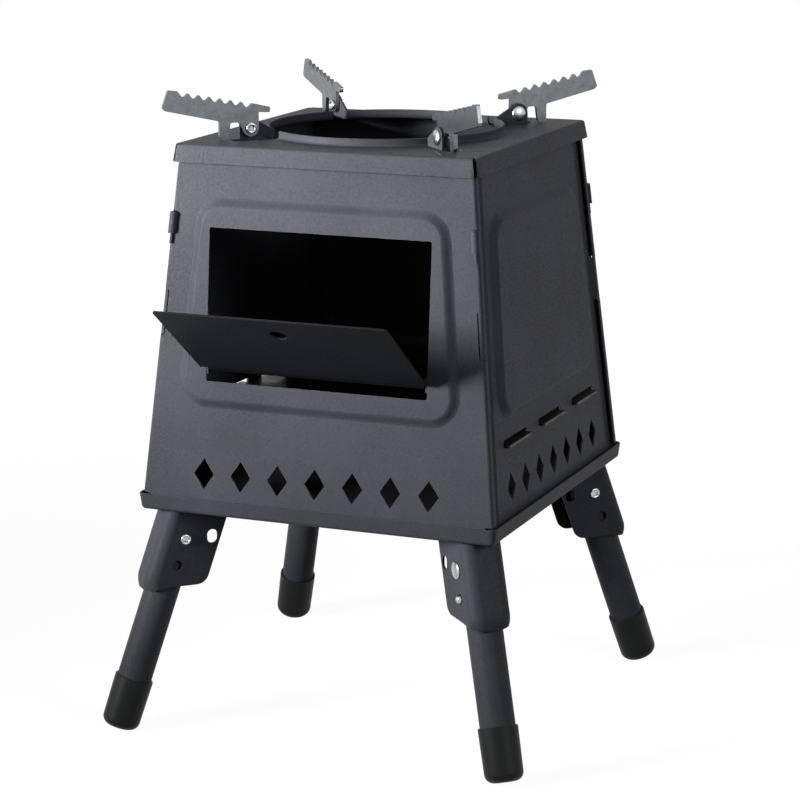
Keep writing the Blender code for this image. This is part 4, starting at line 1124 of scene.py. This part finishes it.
def grey(value):
    """An opaque grey."""
    return (value, value, value, 1)


def make_floor():
    """Floor that glows white to the camera and darkens a little under the stove."""
    look = bpy.data.materials.new("paper_floor")
    look.use_nodes = True
    tree = look.node_tree
    tree.nodes.clear()
    dull = node(tree, "ShaderNodeBsdfDiffuse", {"Color": grey(0.05)})[0]
    paper = node(tree, "ShaderNodeBsdfDiffuse", {"Color": grey(0.10)})[0]
    spot = node(tree, "ShaderNodeTexCoord")["Object"]
    away = node(tree, "ShaderNodeVectorMath", {0: spot}, operation="LENGTH")["Value"]
    glow = node(tree, "ShaderNodeEmission",
                {"Color": grey(1), "Strength": spread(tree, away, 0.94, 1.0, 0.3, 1.1)})[0]
    bright = node(tree, "ShaderNodeAddShader", {0: paper, 1: glow})[0]
    node(tree, "ShaderNodeOutputMaterial", {"Surface": dim_or_bright(tree, dull, bright)})
    work = bmesh.new()
    bmesh.ops.create_grid(work, x_segments=1, y_segments=1, size=FLOOR_HALF)
    floor = link("floor", work)
    floor.data.materials.append(look)
    return floor


def make_lamp(label, spot, aim, size, power, cone):
    """Area lamp at a spot, aimed at a point: its width and height, its power and its spread."""
    light = bpy.data.lights.new(label, "AREA")
    light.shape = "RECTANGLE"
    light.size, light.size_y = size
    light.energy = power
    light.spread = math.radians(cone)
    lamp = bpy.data.objects.new(label, light)
    lamp.location = spot
    lamp.rotation_euler = (Vector(aim) - Vector(spot)).to_track_quat("-Z", "Y").to_euler()
    bpy.context.scene.collection.objects.link(lamp)
    return lamp


def make_world():
    """Backdrop, white to the camera and a faint cool light for the stove."""
    world = bpy.data.worlds.new("studio")
    world.use_nodes = True
    tree = world.node_tree
    tree.nodes.clear()
    white = node(tree, "ShaderNodeBackground", {"Color": grey(1), "Strength": 1.0})[0]
    soft = node(tree, "ShaderNodeBackground", {"Color": COOL_WHITE, "Strength": 0.10})[0]
    node(tree, "ShaderNodeOutputWorld", {"Surface": dim_or_bright(tree, soft, white)})
    return world


def make_camera():
    """The camera of the photograph, as fitted to its corners and feet."""
    data = bpy.data.cameras.new("photo_camera")
    data.lens, data.sensor_width, data.clip_end = 122.7, 36, 50
    camera = bpy.data.objects.new("photo_camera", data)
    right, up, back = (0.9219, 0.3873, -0.0046), (-0.0831, 0.2094, 0.9743), (0.3783, -0.8979, 0.2252)
    camera.matrix_world = axes(right, up, back, (0.6742, -1.5796 + BODY_Y, 0.5951))
    bpy.context.scene.collection.objects.link(camera)
    return camera


FLOOR_HALF = 1.5
COOL_WHITE = (0.93, 0.96, 1, 1)
LAMPS = (  # label, place, aim, width and height, watts, degrees of spread
    ("key", (-0.76, -0.84, 0.52), (-0.07, -0.1, 0.46), (0.34, 0.34), 7.2, 56),
    ("side", (1.9, -0.8, 1.0), (0, 0, 0.25), (0.9, 0.9), 22, 180),
    ("back", (-0.5, 1.9, 0.18), (0, 0, 0.18), (0.9, 0.34), 13, 180),
    ("top", (-0.5, -0.7, 2.2), (0, 0, 0.2), (1.4, 1.4), 1.6, 180),
)


class STOVE_OT_tray(bpy.types.Operator):
    """Pressed pan that carries the walls"""
    bl_idname = "stove.tray"
    bl_label = "Tray"
    bl_options = {"REGISTER", "UNDO"}

    def execute(self, context):
        """Build the tray."""
        publish(make_tray(), "powder_coat", "stove_body", "tray")
        return {"FINISHED"}


class STOVE_OT_walls(bpy.types.Operator):
    """Four slanted walls with raised panels, air holes and hooks"""
    bl_idname = "stove.walls"
    bl_label = "Walls"
    bl_options = {"REGISTER", "UNDO"}

    def execute(self, context):
        """Build the four walls."""
        front = face_wall("front_wall")
        back = copy_of(front, "back_wall")
        open_doorway(front)
        left = side_wall("left_wall")
        right = copy_of(left, "right_wall")
        for body, angle, panel in ((front, 0, "front_panel"), (back, 180, "back_panel"),
                                   (right, 90, "right_panel"), (left, -90, "left_panel")):
            publish(body, "powder_coat", "stove_body", panel,
                    place=Matrix.Rotation(math.radians(angle), 4, "Z"))
        return {"FINISHED"}


class STOVE_OT_grate(bpy.types.Operator):
    """Perforated plate that carries the fire"""
    bl_idname = "stove.grate"
    bl_label = "Grate"
    bl_options = {"REGISTER", "UNDO"}

    def execute(self, context):
        """Build the grate."""
        publish(make_grate(), "bare_steel", "stove_body", "grate")
        return {"FINISHED"}


class STOVE_OT_door(bpy.types.Operator):
    """Tilting door with its rolled hinge"""
    bl_idname = "stove.door"
    bl_label = "Fuel door"
    bl_options = {"REGISTER", "UNDO"}

    def execute(self, context):
        """Build the fuel door at its rest tilt."""
        tilt = Matrix.Rotation(math.radians(sizes("door").tilt), 4, "X")
        publish(make_door(), "door_coat", "fuel_door", "door",
                place=Matrix.Translation(hinge_axis()[2]) @ tilt)
        return {"FINISHED"}


class STOVE_OT_lid(bpy.types.Operator):
    """Lid with its collar, slots and ears"""
    bl_idname = "stove.lid"
    bl_label = "Lid"
    bl_options = {"REGISTER", "UNDO"}

    def execute(self, context):
        """Build the lid."""
        publish(make_lid(), "powder_coat", "lid_assembly", "lid")
        return {"FINISHED"}


class STOVE_OT_supports(bpy.types.Operator):
    """Four toothed supports and their rivets"""
    bl_idname = "stove.supports"
    bl_label = "Pot supports"
    bl_options = {"REGISTER", "UNDO"}

    def execute(self, context):
        """Build the four pot supports and the rivets that they turn on."""
        size = sizes("lid")
        master = make_support()
        for corner, angle in CORNERS:
            publish(copy_of(master, "toothed_support_" + corner), "zinc_plate", "support_" + corner,
                    "pot_support_" + corner, place=diagonal(angle, size.pivot_reach, size.pivot_level))
        drop(master)
        grip = size.support / 2 + GAP
        back = grip + size.ear + GAP
        pins = rivet("support_rivets", size.shank, -grip, back, size.head, size.head_rise, size.ring)
        pins.data.transform(diagonal(0, size.pivot_reach, size.pivot_level)
                            @ Matrix.Rotation(math.pi / 2, 4, "X"))
        repeat_round(pins, "rivets_of_supports", "nickel")
        publish(pins, "nickel", "lid_assembly", *names("support_rivet"))
        return {"FINISHED"}


class STOVE_OT_brackets(bpy.types.Operator):
    """Four folded brackets"""
    bl_idname = "stove.brackets"
    bl_label = "Leg brackets"
    bl_options = {"REGISTER", "UNDO"}

    def execute(self, context):
        """Build the four leg brackets."""
        size = sizes("legs")
        bracket = make_bracket()
        bracket.data.transform(diagonal(0, size.pivot_reach, size.pivot_level) @ leg_frame())
        repeat_round(bracket, "folded_brackets", "powder_coat")
        publish(bracket, "powder_coat", "stove_body", *names("leg_bracket"))
        return {"FINISHED"}


class STOVE_OT_legs(bpy.types.Operator):
    """Four tubes with rubber caps"""
    bl_idname = "stove.legs"
    bl_label = "Legs"
    bl_options = {"REGISTER", "UNDO"}

    def execute(self, context):
        """Build the four legs, the bore of each tube on its lock button's side."""
        size = sizes("legs")
        tube, cap = make_tube(), make_cap()
        for corner, angle in CORNERS:
            place = diagonal(angle, size.pivot_reach, size.pivot_level) @ leg_frame()
            bore_turn = Matrix.Rotation(0 if corner.startswith("front") else math.pi, 4, "Z")
            publish(copy_of(tube, "tube_" + corner), "powder_coat", "leg_" + corner, "leg_tube_" + corner,
                    place=place @ bore_turn)
            publish(copy_of(cap, "cap_" + corner), "rubber", "leg_" + corner, "foot_cap_" + corner,
                    place=place)
        drop(tube)
        drop(cap)
        return {"FINISHED"}


class STOVE_OT_rivets(bpy.types.Operator):
    """Leg rivets and lock buttons"""
    bl_idname = "stove.rivets"
    bl_label = "Rivets and buttons"
    bl_options = {"REGISTER", "UNDO"}

    def execute(self, context):
        """Build the leg rivets and the lock buttons, which face the front or the back."""
        size = sizes("legs")
        grip = size.half + GAP
        splay = math.radians(size.splay)
        reach = size.pivot_reach + size.lock * math.sin(splay)
        level = size.pivot_level - size.lock * math.cos(splay)
        for label, side, start, step in (("front", 1, -45, 270), ("back", -1, 45, 90)):
            pair = (label + "_right", label + "_left")
            pins = rivet("pins", size.shank, -grip, grip, size.rivet_head, size.rivet_rise, size.ring)
            turn = Matrix.Rotation(side * math.pi / 2, 4, "X")
            pins.data.transform(diagonal(0, size.pivot_reach, size.pivot_level) @ turn)
            repeat_round(pins, "rivets_of_legs_" + label, "nickel", 2, start, step)
            publish(pins, "nickel", "stove_body", *names("leg_rivet", pair))
            for corner in pair:
                publish(make_button("button_" + corner), "nickel", "lock_" + corner, "lock_button_" + corner,
                        place=diagonal(dict(CORNERS)[corner], reach, level) @ turn)
        return {"FINISHED"}


class STOVE_OT_pins(bpy.types.Operator):
    """Door pin and corner pins"""
    bl_idname = "stove.pins"
    bl_label = "Pins"
    bl_options = {"REGISTER", "UNDO"}

    def execute(self, context):
        """Give the thin pins, whose shape is already right, their surfaces."""
        for name in ["door_pin"] + names("corner_pin"):
            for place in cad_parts[name].material_slots:
                place.material = finish_of("nickel" if name == "door_pin" else "powder_coat")
        return {"FINISHED"}


class STOVE_OT_stage(bpy.types.Operator):
    """Floor, light and camera"""
    bl_idname = "stove.stage"
    bl_label = "Stage"
    bl_options = {"REGISTER", "UNDO"}

    def execute(self, context):
        """Set up the pale floor, the soft light and the camera of the photograph."""
        scene = context.scene
        floor = make_floor()
        lamps = [make_lamp(*lamp) for lamp in LAMPS]
        scene.world = make_world()
        scene.view_settings.view_transform = "Standard"
        camera = make_camera()
        scene.camera = camera
        return {"FINISHED"}


STEPS = (STOVE_OT_tray, STOVE_OT_walls, STOVE_OT_grate, STOVE_OT_door, STOVE_OT_lid, STOVE_OT_supports,
         STOVE_OT_brackets, STOVE_OT_legs, STOVE_OT_rivets, STOVE_OT_pins, STOVE_OT_stage)
GROUPS = (("stove_walls", WallSizes), ("stove_door", DoorSizes), ("stove_lid", LidSizes),
          ("stove_legs", LegSizes), ("stove_finishes", Finishes))


class STOVE_PT_sidebar(bpy.types.Panel):
    """Buttons that build the stove."""
    bl_label = "Camping wood stove"
    bl_idname = "STOVE_PT_sidebar"
    bl_space_type = "VIEW_3D"
    bl_region_type = "UI"
    bl_category = "Stove"

    def draw(self, context):
        """List the steps in order."""
        for step in STEPS:
            self.layout.operator(step.bl_idname, text=step.bl_label)


def register():
    """Register the sizes, the steps and the panel."""
    for key, group in GROUPS:
        bpy.utils.register_class(group)
        setattr(bpy.types.Scene, key, PointerProperty(type=group))
    for step in STEPS:
        bpy.utils.register_class(step)
    bpy.utils.register_class(STOVE_PT_sidebar)


def unregister():
    """Take everything out again."""
    bpy.utils.unregister_class(STOVE_PT_sidebar)
    for step in reversed(STEPS):
        bpy.utils.unregister_class(step)
    for key, group in reversed(GROUPS):
        delattr(bpy.types.Scene, key)
        bpy.utils.unregister_class(group)


def main():
    """Build every piece and the stage."""
    register()
    for step in STEPS:
        getattr(bpy.ops.stove, step.bl_idname.split(".")[1])()


if __name__ == "__main__":
    main()
